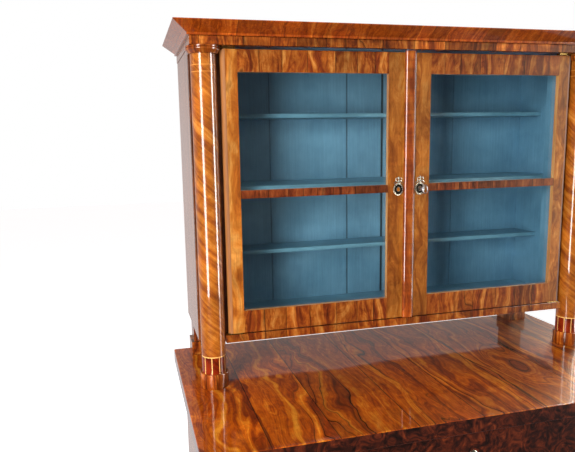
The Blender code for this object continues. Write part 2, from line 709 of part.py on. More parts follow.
def mitred_frame(name, section, material):
    """A moulding round the front and both sides of the cabinet, mitred at the front corners.

    The section is (how far out from the frieze's face, height), and the back ends are cut square.
    """
    builder = bmesh.new()
    rings = []
    for side, y in ((-1, BACK_Y), (-1, None), (1, None), (1, BACK_Y)):
        ring = []
        for out, height in section:
            place_y = y if y is not None else FRIEZE_Y - out
            ring.append(builder.verts.new((side * (FRIEZE_HALF + out), place_y, height)))
        rings.append(ring)
    count = len(section)
    for first, second in zip(rings, rings[1:]):
        for k in range(count):
            nxt = (k + 1) % count
            builder.faces.new((first[k], first[nxt], second[nxt], second[k]))
    builder.faces.new(rings[0])
    builder.faces.new(list(reversed(rings[-1])))
    return finish_mesh(builder, name, material, (0, 0, section[0][1]))


def make_frieze_and_cornice(wood):
    """The flat frieze, and over it the bead and the canted board that lean outwards."""
    bottom, top = above(FRIEZE_BOTTOM), above(FRIEZE_BOTTOM + FRIEZE_HEIGHT)
    inside = FRIEZE_HALF - CABINET_INSIDE
    outer = [(0.0, bottom), (0.0, top - FIT), (-inside, top - FIT), (-inside, bottom)]
    frieze = mitred_frame("frieze", outer, wood)
    front_low = (-CABINET_INSIDE - 0.001, FRIEZE_Y + inside / 2, bottom)
    front_high = (CABINET_INSIDE + 0.001, FRIEZE_Y + FRIEZE_THICKNESS, top - FIT)
    unite(frieze, block("frieze_front", front_low, front_high))

    bead_top = top + CORNICE_BEAD
    cant_top = bead_top + CORNICE_CANT
    out_top = CORNICE_BEAD_OUT + CORNICE_CANT_OUT
    section = [(-CORNICE_INSIDE, top), (CORNICE_BEAD_OUT, top), (CORNICE_BEAD_OUT, bead_top)]
    section += [(out_top, cant_top), (out_top, cant_top + CORNICE_LIP)]
    section.append((-CORNICE_INSIDE, cant_top + CORNICE_LIP))
    mitred_frame("cornice", section, wood)


def make_shelves(painted):
    inside = CABINET_INSIDE - FIT
    back = CABINET_BACK_Y - FIT
    for name, top, depth in zip(("lower", "middle", "upper"), SHELF_TOPS, SHELF_DEPTHS):
        low = (-inside, back - depth, above(top) - SHELF_THICKNESS)
        block(f"shelf_{name}", low, (inside, back, above(top)), painted)


def make_cabinet_columns(wood):
    """A column's drum, shaft and capital are three turned pieces."""
    capital_bottom = above(FRIEZE_BOTTOM) - FIT - CAPITAL_HEIGHT
    capital_top = above(FRIEZE_BOTTOM) - FIT
    for name, side in SIDES:
        x = side * COLUMN_X
        low = DESK_HEIGHT + FIT
        drum = [(0.0, above(DRUM_HEIGHT)), (DRUM_RADIUS - DRUM_TOP_EASE, above(DRUM_HEIGHT))]
        drum += [(DRUM_RADIUS, above(DRUM_HEIGHT) - DRUM_TOP_EASE), (DRUM_RADIUS, low), (0.0, low)]
        turned(f"column_drum_{name}", drum, x, COLUMN_Y, wood)
        shaft_top, shaft_low = capital_bottom - FIT, above(DRUM_HEIGHT) + FIT
        shaft = [(0.0, shaft_top), (COLUMN_RADIUS, shaft_top), (COLUMN_RADIUS, shaft_low), (0.0, shaft_low)]
        turned(f"column_shaft_{name}", shaft, x, COLUMN_Y, wood)
        ring = [(0.0, capital_top), *capital_profile(capital_top, CAPITAL_RADIUS), (0.0, capital_bottom)]
        capital = turned(f"column_capital_{name}", ring, x, COLUMN_Y, wood)
        clear_x = DOOR_HALF_SPAN + DOOR_SWING_CLEARANCE
        stile_x = COLUMN_X - COLUMN_RADIUS - 0.0015 + FIT
        stile_y = DOOR_BACK_Y + 0.001 - FIT
        side_y = COLUMN_Y + COLUMN_RADIUS + 0.0015 - FIT
        outline = (
            (COLUMN_X + 0.1, side_y),
            (COLUMN_X + 0.1, side_y + 0.1),
            (clear_x - 0.1, side_y + 0.1),
            (clear_x - 0.1, COLUMN_Y - 0.1),
            (clear_x, COLUMN_Y - 0.1),
            (clear_x, stile_y),
            (stile_x, stile_y),
            (stile_x, side_y),
        )
        mirrored = [(side * px, py) for px, py in outline]
        way = prism(f"capital_way_{name}", mirrored, capital_bottom - CUT, capital_top + CUT, "Z")
        cut(capital, way)


def make_rear_posts(wood):
    """A square post on a wider block, under each back corner of the cabinet."""
    for name, side in SIDES:
        near, far = span(side, POST_OUTER - POST_WIDTH, POST_OUTER)
        post_low = (near, BACK_Y - POST_DEPTH, above(POST_BLOCK_HEIGHT / 2))
        post = block(f"rear_post_{name}", post_low, (far, BACK_Y - 0.001, above(CABINET_LIFT) - FIT), wood)
        near, far = span(side, POST_OUTER - POST_WIDTH - POST_BLOCK_PROUD, POST_OUTER + POST_BLOCK_PROUD)
        block_low = (near, BACK_Y - POST_DEPTH - POST_BLOCK_PROUD, DESK_HEIGHT + FIT)
        unite(post, block(f"rear_block_{name}", block_low, (far, BACK_Y, above(POST_BLOCK_HEIGHT))))


# ---------------------------------------------------------------- the doors
def door_outline(side):
    """The door's shape from above. Its hanging edge is a half round on the pivot's axis."""
    radius = DOOR_THICKNESS / 2
    free = MEETING_X + DOOR_GAP if side > 0 else MEETING_X
    hanging = arc((PIVOT_X, PIVOT_Y), radius, -90, 90, 10)
    if side < 0:
        hanging = [(-x, y) for x, y in hanging]
    return [(free, DOOR_Y), *hanging, (free, DOOR_BACK_Y)]


def make_doors(wood, glass, brass, steel):
    """Each door: a frame with two panes and a bar across, on pivots at its head and foot."""
    for name, side in SIDES:
        outline = door_outline(side)
        frame = prism(f"door_frame_{name}", outline, above(DOOR_BOTTOM), above(DOOR_TOP), "Z", wood)
        near, far = span(side, GLASS_INNER, GLASS_OUTER)
        pieces = [frame]
        rebate_y = DOOR_Y + GLASS_BACK_OF_FACE - FIT
        for level, low, high in (("lower", GLASS_BOTTOM, BAR_BOTTOM), ("upper", BAR_TOP, GLASS_TOP)):
            sight_low = (near, DOOR_Y - CUT, above(low))
            sight = block(f"sight_{name}_{level}", sight_low, (far, DOOR_BACK_Y + CUT, above(high)))
            cut(frame, sight)
            grow = GLASS_REBATE
            rebate_low = (near - grow, rebate_y, above(low) - grow)
            rebate_high = (far + grow, DOOR_BACK_Y + CUT, above(high) + grow)
            cut(frame, block(f"rebate_{name}_{level}", rebate_low, rebate_high))
            grow = GLASS_REBATE - FIT
            pane_low = (near - grow, rebate_y + FIT, above(low) - grow)
            pane_high = (far + grow, rebate_y + FIT + GLASS_THICKNESS, above(high) + grow)
            pieces.append(block(f"pane_{name}_{level}", pane_low, pane_high, glass))
        for level, z in (("lower", DOOR_BOTTOM), ("upper", DOOR_TOP)):
            depth = PIVOT_PIN_LENGTH + 0.001
            start, end = above(z) - depth, above(z) + depth
            place = (side * PIVOT_X, PIVOT_Y)
            radius = PIVOT_PIN_RADIUS + PIVOT_BORE_GAP
            cut(frame, rod(f"pivot_bore_{name}_{level}", radius, (*place, start), (*place, end)))
        pieces.append(make_keyhole_plate(name, LEFT_PLATE_X if side < 0 else LOCK_X, brass))
        turn = joint(f"door_{name}_turn", (side * PIVOT_X, PIVOT_Y, above(DOOR_BOTTOM)))
        if side > 0:
            bore_start = (LOCK_X, DOOR_Y - CUT, above(LOCK_Z))
            bore_end = (LOCK_X, DOOR_BACK_Y + CUT, above(LOCK_Z))
            cut(frame, rod("keyhole", KEY_HOLE_RADIUS, bore_start, bore_end))
            pieces.append(make_lock_case(steel))
            key_turn = joint("key_turn", (LOCK_X, DOOR_Y, above(LOCK_Z)))
            bolt_slide = joint("bolt_slide", (LOCK_X, DOOR_BACK_Y, bolt_span()[0]))
            carry(turn, key_turn, bolt_slide)
            carry(key_turn, make_key(steel))
            carry(bolt_slide, make_bolt(steel))
        else:
            pieces.append(make_astragal(wood))
        carry(turn, *pieces)


def make_astragal(wood):
    """The rounded strip on the left door that stands over its meeting edge."""
    back = DOOR_Y - FIT
    face = back - ASTRAGAL_PROUD
    shoulder = back - 0.35 * ASTRAGAL_PROUD
    half = [(ASTRAGAL_HALF, back), (ASTRAGAL_HALF, shoulder), (0.72 * ASTRAGAL_HALF, face + 0.0012)]
    half.append((0.42 * ASTRAGAL_HALF, face))
    outline = [(-x, y) for x, y in half] + list(reversed(half))
    return prism("astragal", outline, above(DOOR_BOTTOM), above(ASTRAGAL_TOP), "Z", wood)


def make_keyhole_plate(name, x, brass):
    """An oval plate with a small crest over it, pierced for the key."""
    middle = above(LOCK_Z) + 0.0005
    oval = []
    for k in range(24):
        angle = 2 * math.pi * k / 24
        oval.append((x + PLATE_WIDTH / 2 * math.cos(angle), middle + PLATE_HEIGHT / 2 * math.sin(angle)))
    front, back = DOOR_Y - FIT - PLATE_THICKNESS, DOOR_Y - FIT
    plate = prism(f"keyhole_plate_{name}", oval, front, back, "Y", brass)
    crest_low = (x - PLATE_CREST_WIDTH / 2, front, middle + PLATE_HEIGHT / 2 - 0.004)
    crest_high = (x + PLATE_CREST_WIDTH / 2, back, middle + PLATE_HEIGHT / 2 + PLATE_CREST_HEIGHT)
    crest = [
        (crest_low[0] + 0.005, crest_low[2]),
        (crest_low[0], crest_high[2] - 0.006),
        (crest_low[0] + 0.004, crest_high[2]),
        (crest_high[0] - 0.004, crest_high[2]),
        (crest_high[0], crest_high[2] - 0.006),
        (crest_high[0] - 0.005, crest_low[2]),
    ]
    unite(plate, prism(f"crest_{name}", crest, front, back, "Y"))
    hole_start, hole_end = (x, front - CUT, above(LOCK_Z)), (x, back + CUT, above(LOCK_Z))
    cut(plate, rod(f"plate_hole_{name}", KEY_HOLE_RADIUS, hole_start, hole_end))
    return plate


def lock_front():
    return DOOR_BACK_Y + FIT


def bolt_span():
    """The bolt's lower and upper edges, just clear of the circle that the key's bit turns in."""
    low = above(LOCK_Z) + KEY_BIT + BOLT_GAP
    return low, low + BOLT_HEIGHT


def make_lock_case(steel):
    """The lock on the back of the right door, hollow for the bolt and for the key's bit."""
    left = MEETING_X + DOOR_GAP + 0.001
    front, back = lock_front(), lock_front() + LOCK_DEPTH
    middle = above(LOCK_Z)
    low = (left, front, middle - LOCK_BELOW_KEY)
    case = block("lock_case", low, (left + LOCK_WIDTH, back, middle + LOCK_ABOVE_KEY), steel)
    bolt_low, bolt_high = bolt_span()
    room_front, room_back = front + LOCK_WALL, front + LOCK_WALL + BOLT_DEPTH + 2 * BOLT_GAP
    channel_low = (left - CUT, room_front, bolt_low - BOLT_GAP)
    channel_high = (left + BOLT_LENGTH + 2 * BOLT_GAP, room_back, bolt_high + BOLT_GAP)
    cut(case, block("bolt_channel", channel_low, channel_high))
    room_start, room_end = (LOCK_X, room_front, middle), (LOCK_X, room_back, middle)
    cut(case, rod("bit_room", KEY_BIT + 0.0012, room_start, room_end, 24))
    hole_start, hole_end = (LOCK_X, front - CUT, middle), (LOCK_X, room_back - CUT, middle)
    cut(case, rod("case_keyhole", KEY_HOLE_RADIUS, hole_start, hole_end))
    return case


def make_bolt(steel):
    """The bolt, drawn back into the case. The key throws it to the left, behind the other door."""
    left = MEETING_X + DOOR_GAP + 0.001 + BOLT_GAP
    front = lock_front() + LOCK_WALL + BOLT_GAP
    bolt_low, bolt_high = bolt_span()
    high = (left + BOLT_LENGTH, front + BOLT_DEPTH, bolt_high)
    return block("lock_bolt", (left, front, bolt_low), high, steel)


def make_key(steel):
    """The key in the right door: bow, shaft and bit."""
    plate_face = DOOR_Y - FIT - PLATE_THICKNESS
    bow_end = plate_face - KEY_OUT
    tip = lock_front() + LOCK_WALL + BOLT_GAP + BOLT_DEPTH
    middle = above(LOCK_Z)
    key = rod("key", KEY_SHAFT_RADIUS, (LOCK_X, bow_end - 0.003, middle), (LOCK_X, tip, middle), 12, steel)
    bit_low = (LOCK_X - KEY_BIT_THICKNESS / 2, tip - 0.005, middle - KEY_BIT)
    unite(key, block("key_bit", bit_low, (LOCK_X + KEY_BIT_THICKNESS / 2, tip - 0.0005, middle)))
    centre = (bow_end - KEY_BOW_LENGTH / 2, middle)
    outer, inner = [], []
    for k in range(20):
        angle = 2 * math.pi * k / 20
        reach_y, reach_z = KEY_BOW_LENGTH / 2 * math.cos(angle), KEY_BOW_WIDTH / 2 * math.sin(angle)
        outer.append((centre[0] + reach_y, centre[1] + reach_z))
        share_y = 1 - 2 * KEY_BOW_WIRE / KEY_BOW_LENGTH
        share_z = 1 - 2 * KEY_BOW_WIRE / KEY_BOW_WIDTH
        inner.append((centre[0] + share_y * reach_y, centre[1] + share_z * reach_z))
    half = KEY_BOW_WIRE / 2 * 0.8
    bow = prism("key_bow", outer, LOCK_X - half, LOCK_X + half, "X")
    cut(bow, prism("key_bow_eye", inner, LOCK_X - half - CUT, LOCK_X + half + CUT, "X"))
    unite(key, bow)
    return key


def make_pivots(brass):
    """Pivot plates on the cabinet's rail and under the frieze, whose pins enter the doors' edges."""
    for level in ("lower", "upper"):
        up = level == "lower"
        seat = above(CABINET_LIFT + CABINET_RAIL) if up else above(FRIEZE_BOTTOM)
        door_edge = above(DOOR_BOTTOM if up else DOOR_TOP)
        way = 1 if up else -1
        for name, side in SIDES:
            end = PIVOT_X + PIVOT_PLATE_END
            near, far = span(side, end - PIVOT_PLATE_LENGTH, end)
            face, back = seat + way * (PIVOT_PLATE_THICKNESS + FIT), seat + way * FIT
            low = (near, PIVOT_Y - PIVOT_PLATE_WIDTH / 2, min(face, back))
            high = (far, PIVOT_Y + PIVOT_PLATE_WIDTH / 2, max(face, back))
            plate = block(f"pivot_{level}_{name}", low, high, brass)
            tip = door_edge + way * PIVOT_PIN_LENGTH
            place = (side * PIVOT_X, PIVOT_Y)
            pin = (*place, seat + way * 0.001), (*place, tip)
            unite(plate, rod(f"pin_{level}_{name}", PIVOT_PIN_RADIUS, *pin))


def main():
    clear_scene()
    walnut = make_material("walnut_veneer", (0.36, 0.13, 0.035), 0.22)
    dark_walnut = make_material("dark_walnut", (0.14, 0.05, 0.022), 0.25)
    oak = make_material("drawer_oak", (0.42, 0.28, 0.15), 0.6)
    blue = make_material("blue_paint", (0.10, 0.22, 0.30), 0.5)
    glass = make_material("window_glass", (0.85, 0.9, 0.9), 0.03, alpha=0.25)
    brass = make_material("aged_brass", (0.45, 0.34, 0.17), 0.35, metallic=1.0)
    steel = make_material("bright_iron", (0.48, 0.47, 0.45), 0.35, metallic=1.0)

    make_desk_top(walnut)
    make_base_sides(walnut)
    make_base_boards(oak, dark_walnut)
    make_feet(dark_walnut)
    make_base_columns(walnut)
    make_lower_drawers(walnut, oak)
    make_writing_drawer(walnut, oak, walnut, brass)
    make_cabinet_sides(walnut)
    make_cabinet_boards(walnut, blue)
    make_frieze_and_cornice(walnut)
    make_shelves(blue)
    make_cabinet_columns(walnut)
    make_rear_posts(walnut)
    make_doors(walnut, glass, brass, steel)
    make_pivots(brass)


main()
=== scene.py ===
# %% [markdown]
# # A secretary desk in French-polished walnut
# The desk is a writing commode with a glazed cabinet that stands over its top on two columns. The solid
# pieces and their joints come from a fixed frame. This script gives each board its eased edges, turns the
# columns, casts the brass, and lays the veneer: leaves of walnut laid side by side, each with its own figure.
# All lengths are metres, the desk faces -Y and its width runs along X.

# %% The frame
import json
import math

import bmesh
import bpy
import numpy as np
from mathutils import Matrix, Vector


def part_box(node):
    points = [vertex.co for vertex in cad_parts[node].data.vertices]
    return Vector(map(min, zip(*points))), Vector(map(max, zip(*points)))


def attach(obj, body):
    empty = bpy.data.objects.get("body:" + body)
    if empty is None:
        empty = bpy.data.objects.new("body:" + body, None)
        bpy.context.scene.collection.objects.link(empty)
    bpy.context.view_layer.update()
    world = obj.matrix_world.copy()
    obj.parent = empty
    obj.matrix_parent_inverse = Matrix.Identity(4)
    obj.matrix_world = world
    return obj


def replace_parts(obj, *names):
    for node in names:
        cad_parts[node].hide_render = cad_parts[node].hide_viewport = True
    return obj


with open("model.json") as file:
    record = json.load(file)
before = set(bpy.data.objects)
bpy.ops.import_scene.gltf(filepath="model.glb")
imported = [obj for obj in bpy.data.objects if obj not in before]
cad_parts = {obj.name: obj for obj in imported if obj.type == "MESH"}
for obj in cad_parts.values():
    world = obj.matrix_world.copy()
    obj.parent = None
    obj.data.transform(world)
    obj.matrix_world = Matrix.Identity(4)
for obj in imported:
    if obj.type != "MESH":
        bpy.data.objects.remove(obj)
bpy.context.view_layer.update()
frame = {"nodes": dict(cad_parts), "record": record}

NODES = frame["nodes"]
BODY_OF = {node: body for body, nodes in frame["record"]["behaviour"]["bodies"].items() for node in nodes}
SLOT_OF = {entry["node"]: entry["material_slot"] for entry in frame["record"]["subparts"]}
MM = 0.001
AXES = {"X": 0, "Y": 1, "Z": 2}

# %% [markdown]
# ## Places read from the frame
# Every new piece sits on a solid that is already there, so its place is read from that solid's box. A box
# could also be typed in as numbers, but those would go stale as soon as the frame changed.

# %% Places
DOOR_LOW, DOOR_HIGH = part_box("door_frame_left")
PANE_LOW, PANE_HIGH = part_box("pane_left_lower")
TOP_Z, DOOR_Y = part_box("desk_top")[1].z, DOOR_LOW.y
print(f"desk top at {TOP_Z:.3f}, door faces at y {DOOR_Y:.4f}")

# %% [markdown]
# ## Camera
# The desk is seen from the left and a little above, from about an arm's length in front of its top. The
# camera is placed from the door's face and the desk top, and it is turned with three angles: yaw, pitch and
# a slight roll. A small lens shift keeps the framing without turning the camera.

# %% Camera
CAMERA_X, CAMERA_BACK, CAMERA_UP = -0.7043, 1.3498, 0.5934
YAW, PITCH, ROLL = math.radians(14.12), math.radians(-8.63), math.radians(-1.17)

forward = Vector((math.sin(YAW) * math.cos(PITCH), math.cos(YAW) * math.cos(PITCH), math.sin(PITCH)))
level = Vector((math.cos(YAW), -math.sin(YAW), 0.0))
upright = level.cross(forward)
right = math.cos(ROLL) * level + math.sin(ROLL) * upright
up = -math.sin(ROLL) * level + math.cos(ROLL) * upright

lens = bpy.data.cameras.new("camera")
lens.lens, lens.shift_x, lens.shift_y = 35.83, 0.0256, 0.0086
camera = bpy.data.objects.new("camera", lens)
turn = Matrix((right, up, -forward)).transposed().to_4x4()
camera.matrix_world = Matrix.Translation((CAMERA_X, DOOR_Y - CAMERA_BACK, TOP_Z + CAMERA_UP)) @ turn
bpy.context.scene.collection.objects.link(camera)
bpy.context.scene.camera = camera
bpy.context.scene.view_settings.view_transform = "Standard"
print("camera at", [round(v, 3) for v in camera.location])

# %% [markdown]
# ## Shader nodes
# A material is a tree of nodes. Each function here adds one kind of node and returns what it puts out, so
# that a pattern further down reads like a formula.

# %% Shader nodes
def linear(colour):
    """An sRGB hex colour as linear red, green and blue, with alpha 1."""
    parts = [int(colour[k : k + 2], 16) / 255 for k in (1, 3, 5)]
    return (*[p / 12.92 if p <= 0.04045 else ((p + 0.055) / 1.055) ** 2.4 for p in parts], 1.0)


def add(tree, kind, inputs=None, **settings):
    """Adds a node, sets its properties, and sets or links its inputs by name or number."""
    node = tree.nodes.new(kind)
    for name, value in settings.items():
        setattr(node, name, value)
    for socket, value in (inputs or {}).items():
        if isinstance(value, bpy.types.NodeSocket):
            tree.links.new(value, node.inputs[socket])
        else:
            node.inputs[socket].default_value = value
    return node


def calc(tree, operation, *values):
    """One step of arithmetic between values or sockets."""
    return add(tree, "ShaderNodeMath", dict(enumerate(values)), operation=operation).outputs[0]


def product(tree, first, *others):
    for other in others:
        first = calc(tree, "MULTIPLY", first, other)
    return first


def away(tree, value, place):
    """How far a value is from a place."""
    return calc(tree, "ABSOLUTE", calc(tree, "SUBTRACT", value, place))


def remap(tree, value, low=0.0, high=1.0, start=0.0, end=1.0, **settings):
    """The value's place between low and high, as a place between start and end."""
    ends = {"Value": value, 1: low, 2: high, 3: start, 4: end}
    return add(tree, "ShaderNodeMapRange", ends, **settings).outputs[0]


def mix(tree, share, first, second):
    """The first number where the share is 0, the second where it is 1."""
    return add(tree, "ShaderNodeMix", {0: share, 2: first, 3: second}).outputs[0]


def blend(tree, share, first, second):
    """The first colour where the share is 0, the second where it is 1."""
    return add(tree, "ShaderNodeMix", {0: share, 6: first, 7: second}, data_type="RGBA").outputs[2]


def ramp(tree, value, stops):
    """The value as a colour, from stops of (position, colour) in rising order."""
    node = add(tree, "ShaderNodeValToRGB", {0: value})
    elements = node.color_ramp.elements
    for element, (position, colour) in zip(elements, (stops[0], stops[-1])):
        element.position, element.color = position, linear(colour)
    for position, colour in stops[1:-1]:
        elements.new(position).color = linear(colour)
    return node.outputs[0]


def noise(tree, place, scale, detail=2.0, roughness=0.5, distortion=0.0):
    """Smooth noise in space: scale is how many features lie in a metre."""
    looks = {"Vector": place, "Scale": scale, "Detail": detail, "Roughness": roughness}
    return add(tree, "ShaderNodeTexNoise", looks | {"Distortion": distortion}).outputs[0]


def noise_along(tree, count, scale, detail=2.0, roughness=0.5):
    """Smooth noise of one number."""
    looks = {"W": count, "Scale": scale, "Detail": detail, "Roughness": roughness}
    return add(tree, "ShaderNodeTexNoise", looks, noise_dimensions="1D").outputs[0]


def to_nearest(tree, place, scale):
    """How far the place is from the nearest of many scattered points."""
    return add(tree, "ShaderNodeTexVoronoi", {"Vector": place, "Scale": scale}).outputs["Distance"]


def dice(tree, number):
    """A number and a colour that look random, but are the same each time for one whole number."""
    return add(tree, "ShaderNodeTexWhiteNoise", {"W": number}, noise_dimensions="1D").outputs


def stretched(tree, place, scale):
    return add(tree, "ShaderNodeMapping", {"Vector": place, "Scale": scale}).outputs[0]


def along(tree, place, axis, factor):
    """A place for streaks that run along one axis."""
    return stretched(tree, place, [factor if k == AXES[axis] else 1.0 for k in range(3)])


def scaled(tree, vector, factor):
    return add(tree, "ShaderNodeVectorMath", {0: vector, "Scale": factor}, operation="SCALE").outputs[0]


def bump(tree, height, strength, distance):
    looks = {"Height": height, "Strength": strength, "Distance": distance}
    return add(tree, "ShaderNodeBump", looks).outputs[0]


def new_material(name):
    """An empty material, its tree, and the object's own coordinates in it."""
    material = bpy.data.materials.new(name)
    material.use_nodes = True
    tree = material.node_tree
    tree.nodes.clear()
    return material, tree, add(tree, "ShaderNodeTexCoord").outputs["Object"]


def skinned(material, looks):
    """The material, ended in one principled shader."""
    skin = add(material.node_tree, "ShaderNodeBsdfPrincipled", looks).outputs[0]
    add(material.node_tree, "ShaderNodeOutputMaterial", {"Surface": skin})
    return material


# %% [markdown]
# ## Light
# Polished wood is seen by what it mirrors. The room behind the desk is a pale wall, which the top mirrors
# under the cabinet and which greys the sides. The room in front is dim, so that the doors keep their colour.
# One tall softbox stands in front on the left: it lights the doors, throws the stiles' shadows into the
# cabinet, and draws the broad white line on the column. Two narrow strips on the right only draw lines.

# %% Light
world = bpy.data.worlds.new("studio")
bpy.context.scene.world = world
world.use_nodes = True
sky = world.node_tree
sky.nodes.clear()
direction = add(sky, "ShaderNodeTexCoord").outputs["Generated"]
_, back, height = add(sky, "ShaderNodeSeparateXYZ", {0: direction}).outputs
wall = remap(sky, height, 0.0, 0.45, 0.74, 0.36)
wall = mix(sky, remap(sky, back, -0.3, 0.4), 0.06, wall)
straight = add(sky, "ShaderNodeLightPath").outputs["Is Camera Ray"]
seen = mix(sky, straight, wall, 1.0)
tint = blend(sky, straight, linear("#FBF0F0"), linear("#FFFFFF"))
room = add(sky, "ShaderNodeBackground", {"Color": tint, "Strength": seen})
add(sky, "ShaderNodeOutputWorld", {"Surface": room.outputs[0]})


def softbox(name, place, aim, width, height, power, mirrored=True, lights=True):
    """A rectangular lamp that faces a point. It may be left out of mirror images, or seen only in them."""
    data = bpy.data.lights.new(name, "AREA")
    data.shape, data.size, data.size_y, data.energy = "RECTANGLE", width, height, power
    lamp = bpy.data.objects.new(name, data)
    bpy.context.scene.collection.objects.link(lamp)
    lamp.location = place
    lamp.rotation_euler = (Vector(aim) - Vector(place)).to_track_quat("-Z", "Y").to_euler()
    lamp.visible_glossy = lamp.visible_transmission = mirrored
    lamp.visible_diffuse = lights
    return lamp


COLUMN_X = -0.52  # the lamps stand in a half circle round the left column
LAMP_DISTANCE, LAMP_Z, AIM_Z = 2.6, 1.62, 1.35
for name, azimuth, width, power, lights in (
    ("softbox_front_left", -36.0, 0.84, 130.0, True),
    ("strip_front_right", 69.0, 0.62, 110.0, False),
    ("strip_right", 112.0, 0.62, 90.0, False),
):
    turned_by = math.radians(azimuth)
    place = (COLUMN_X + LAMP_DISTANCE * math.sin(turned_by), -LAMP_DISTANCE * math.cos(turned_by), LAMP_Z)
    softbox(name, place, (COLUMN_X, 0.0, AIM_Z), width, 2.5, power, lights=lights)
softbox("front_fill", (0.9, -3.4, 2.2), (0.0, 0.0, 1.1), 3.0, 2.0, 12.0, mirrored=False)
softbox("overhead", (-0.3, -0.9, 3.6), (0.0, 0.0, 0.8), 2.6, 2.0, 22.0, mirrored=False)
print("five lamps and a pale room")

# %% [markdown]
# ## Floor
# The floor is one wide, flat sheet of pale studio paper. It runs so far behind the desk that no horizon line
# shows.

# %% Floor
def plain_piece(name, points, faces, materials, smooth=True, crease=35.0):
    """A mesh object at the origin from an array of points and a list of faces."""
    mesh = bpy.data.meshes.new(name)
    corners = np.asarray(points, float).reshape(-1, 3).tolist()
    mesh.from_pydata(corners, [], [list(map(int, face)) for face in faces])
    for material in materials:
        mesh.materials.append(material)
    if smooth:
        mesh.shade_smooth()
        mesh.set_sharp_from_angle(angle=math.radians(crease))
    mesh.update()
    thing = bpy.data.objects.new(name, mesh)
    bpy.context.scene.collection.objects.link(thing)
    return thing


paper, tree, _ = new_material("matte_studio_paper")
speck = add(tree, "ShaderNodeTexNoise", {"Scale": 40.0, "Detail": 3.0}).outputs[0]
looks = {"Base Color": remap(tree, speck, 0.0, 1.0, 0.9, 0.93), "Roughness": 0.9}
skinned(paper, looks | {"Emission Color": linear("#FFFFFF"), "Emission Strength": 0.8})
REACH = 14.0
corners = [(-REACH, -REACH, 0), (REACH, -REACH, 0), (REACH, REACH, 0), (-REACH, REACH, 0)]
floor = plain_piece("floor", corners, [(0, 1, 2, 3)], [paper], smooth=False)
floor.visible_glossy = floor.visible_diffuse = floor.visible_transmission = False

# %% [markdown]
# ## Walnut veneer
# A veneer leaf is a slice of log, so its figure is the log's growth rings cut at a slant. A ring count grows
# across the leaf, and slow noise bends it, which makes the swirls. Round a knot the count climbs quickly,
# which makes the ovals. The wood's tone is then read from a one-dimensional noise of that count, so it stays
# the same along each ring. Leaves are laid side by side: each has its own figure, or mirrors its neighbour.
# Under shellac the wood is a soft satin base and the polish is a clear coat with a slow ripple.

# %% Veneer
WALNUT = ("#120703", "#431A09", "#71310E", "#9A5015", "#C07E3A")  # vein, dark, brown, orange, honey
POLISH = {"IOR": 1.45, "Specular IOR Level": 0.15, "Coat Weight": 1.0, "Coat IOR": 1.5}


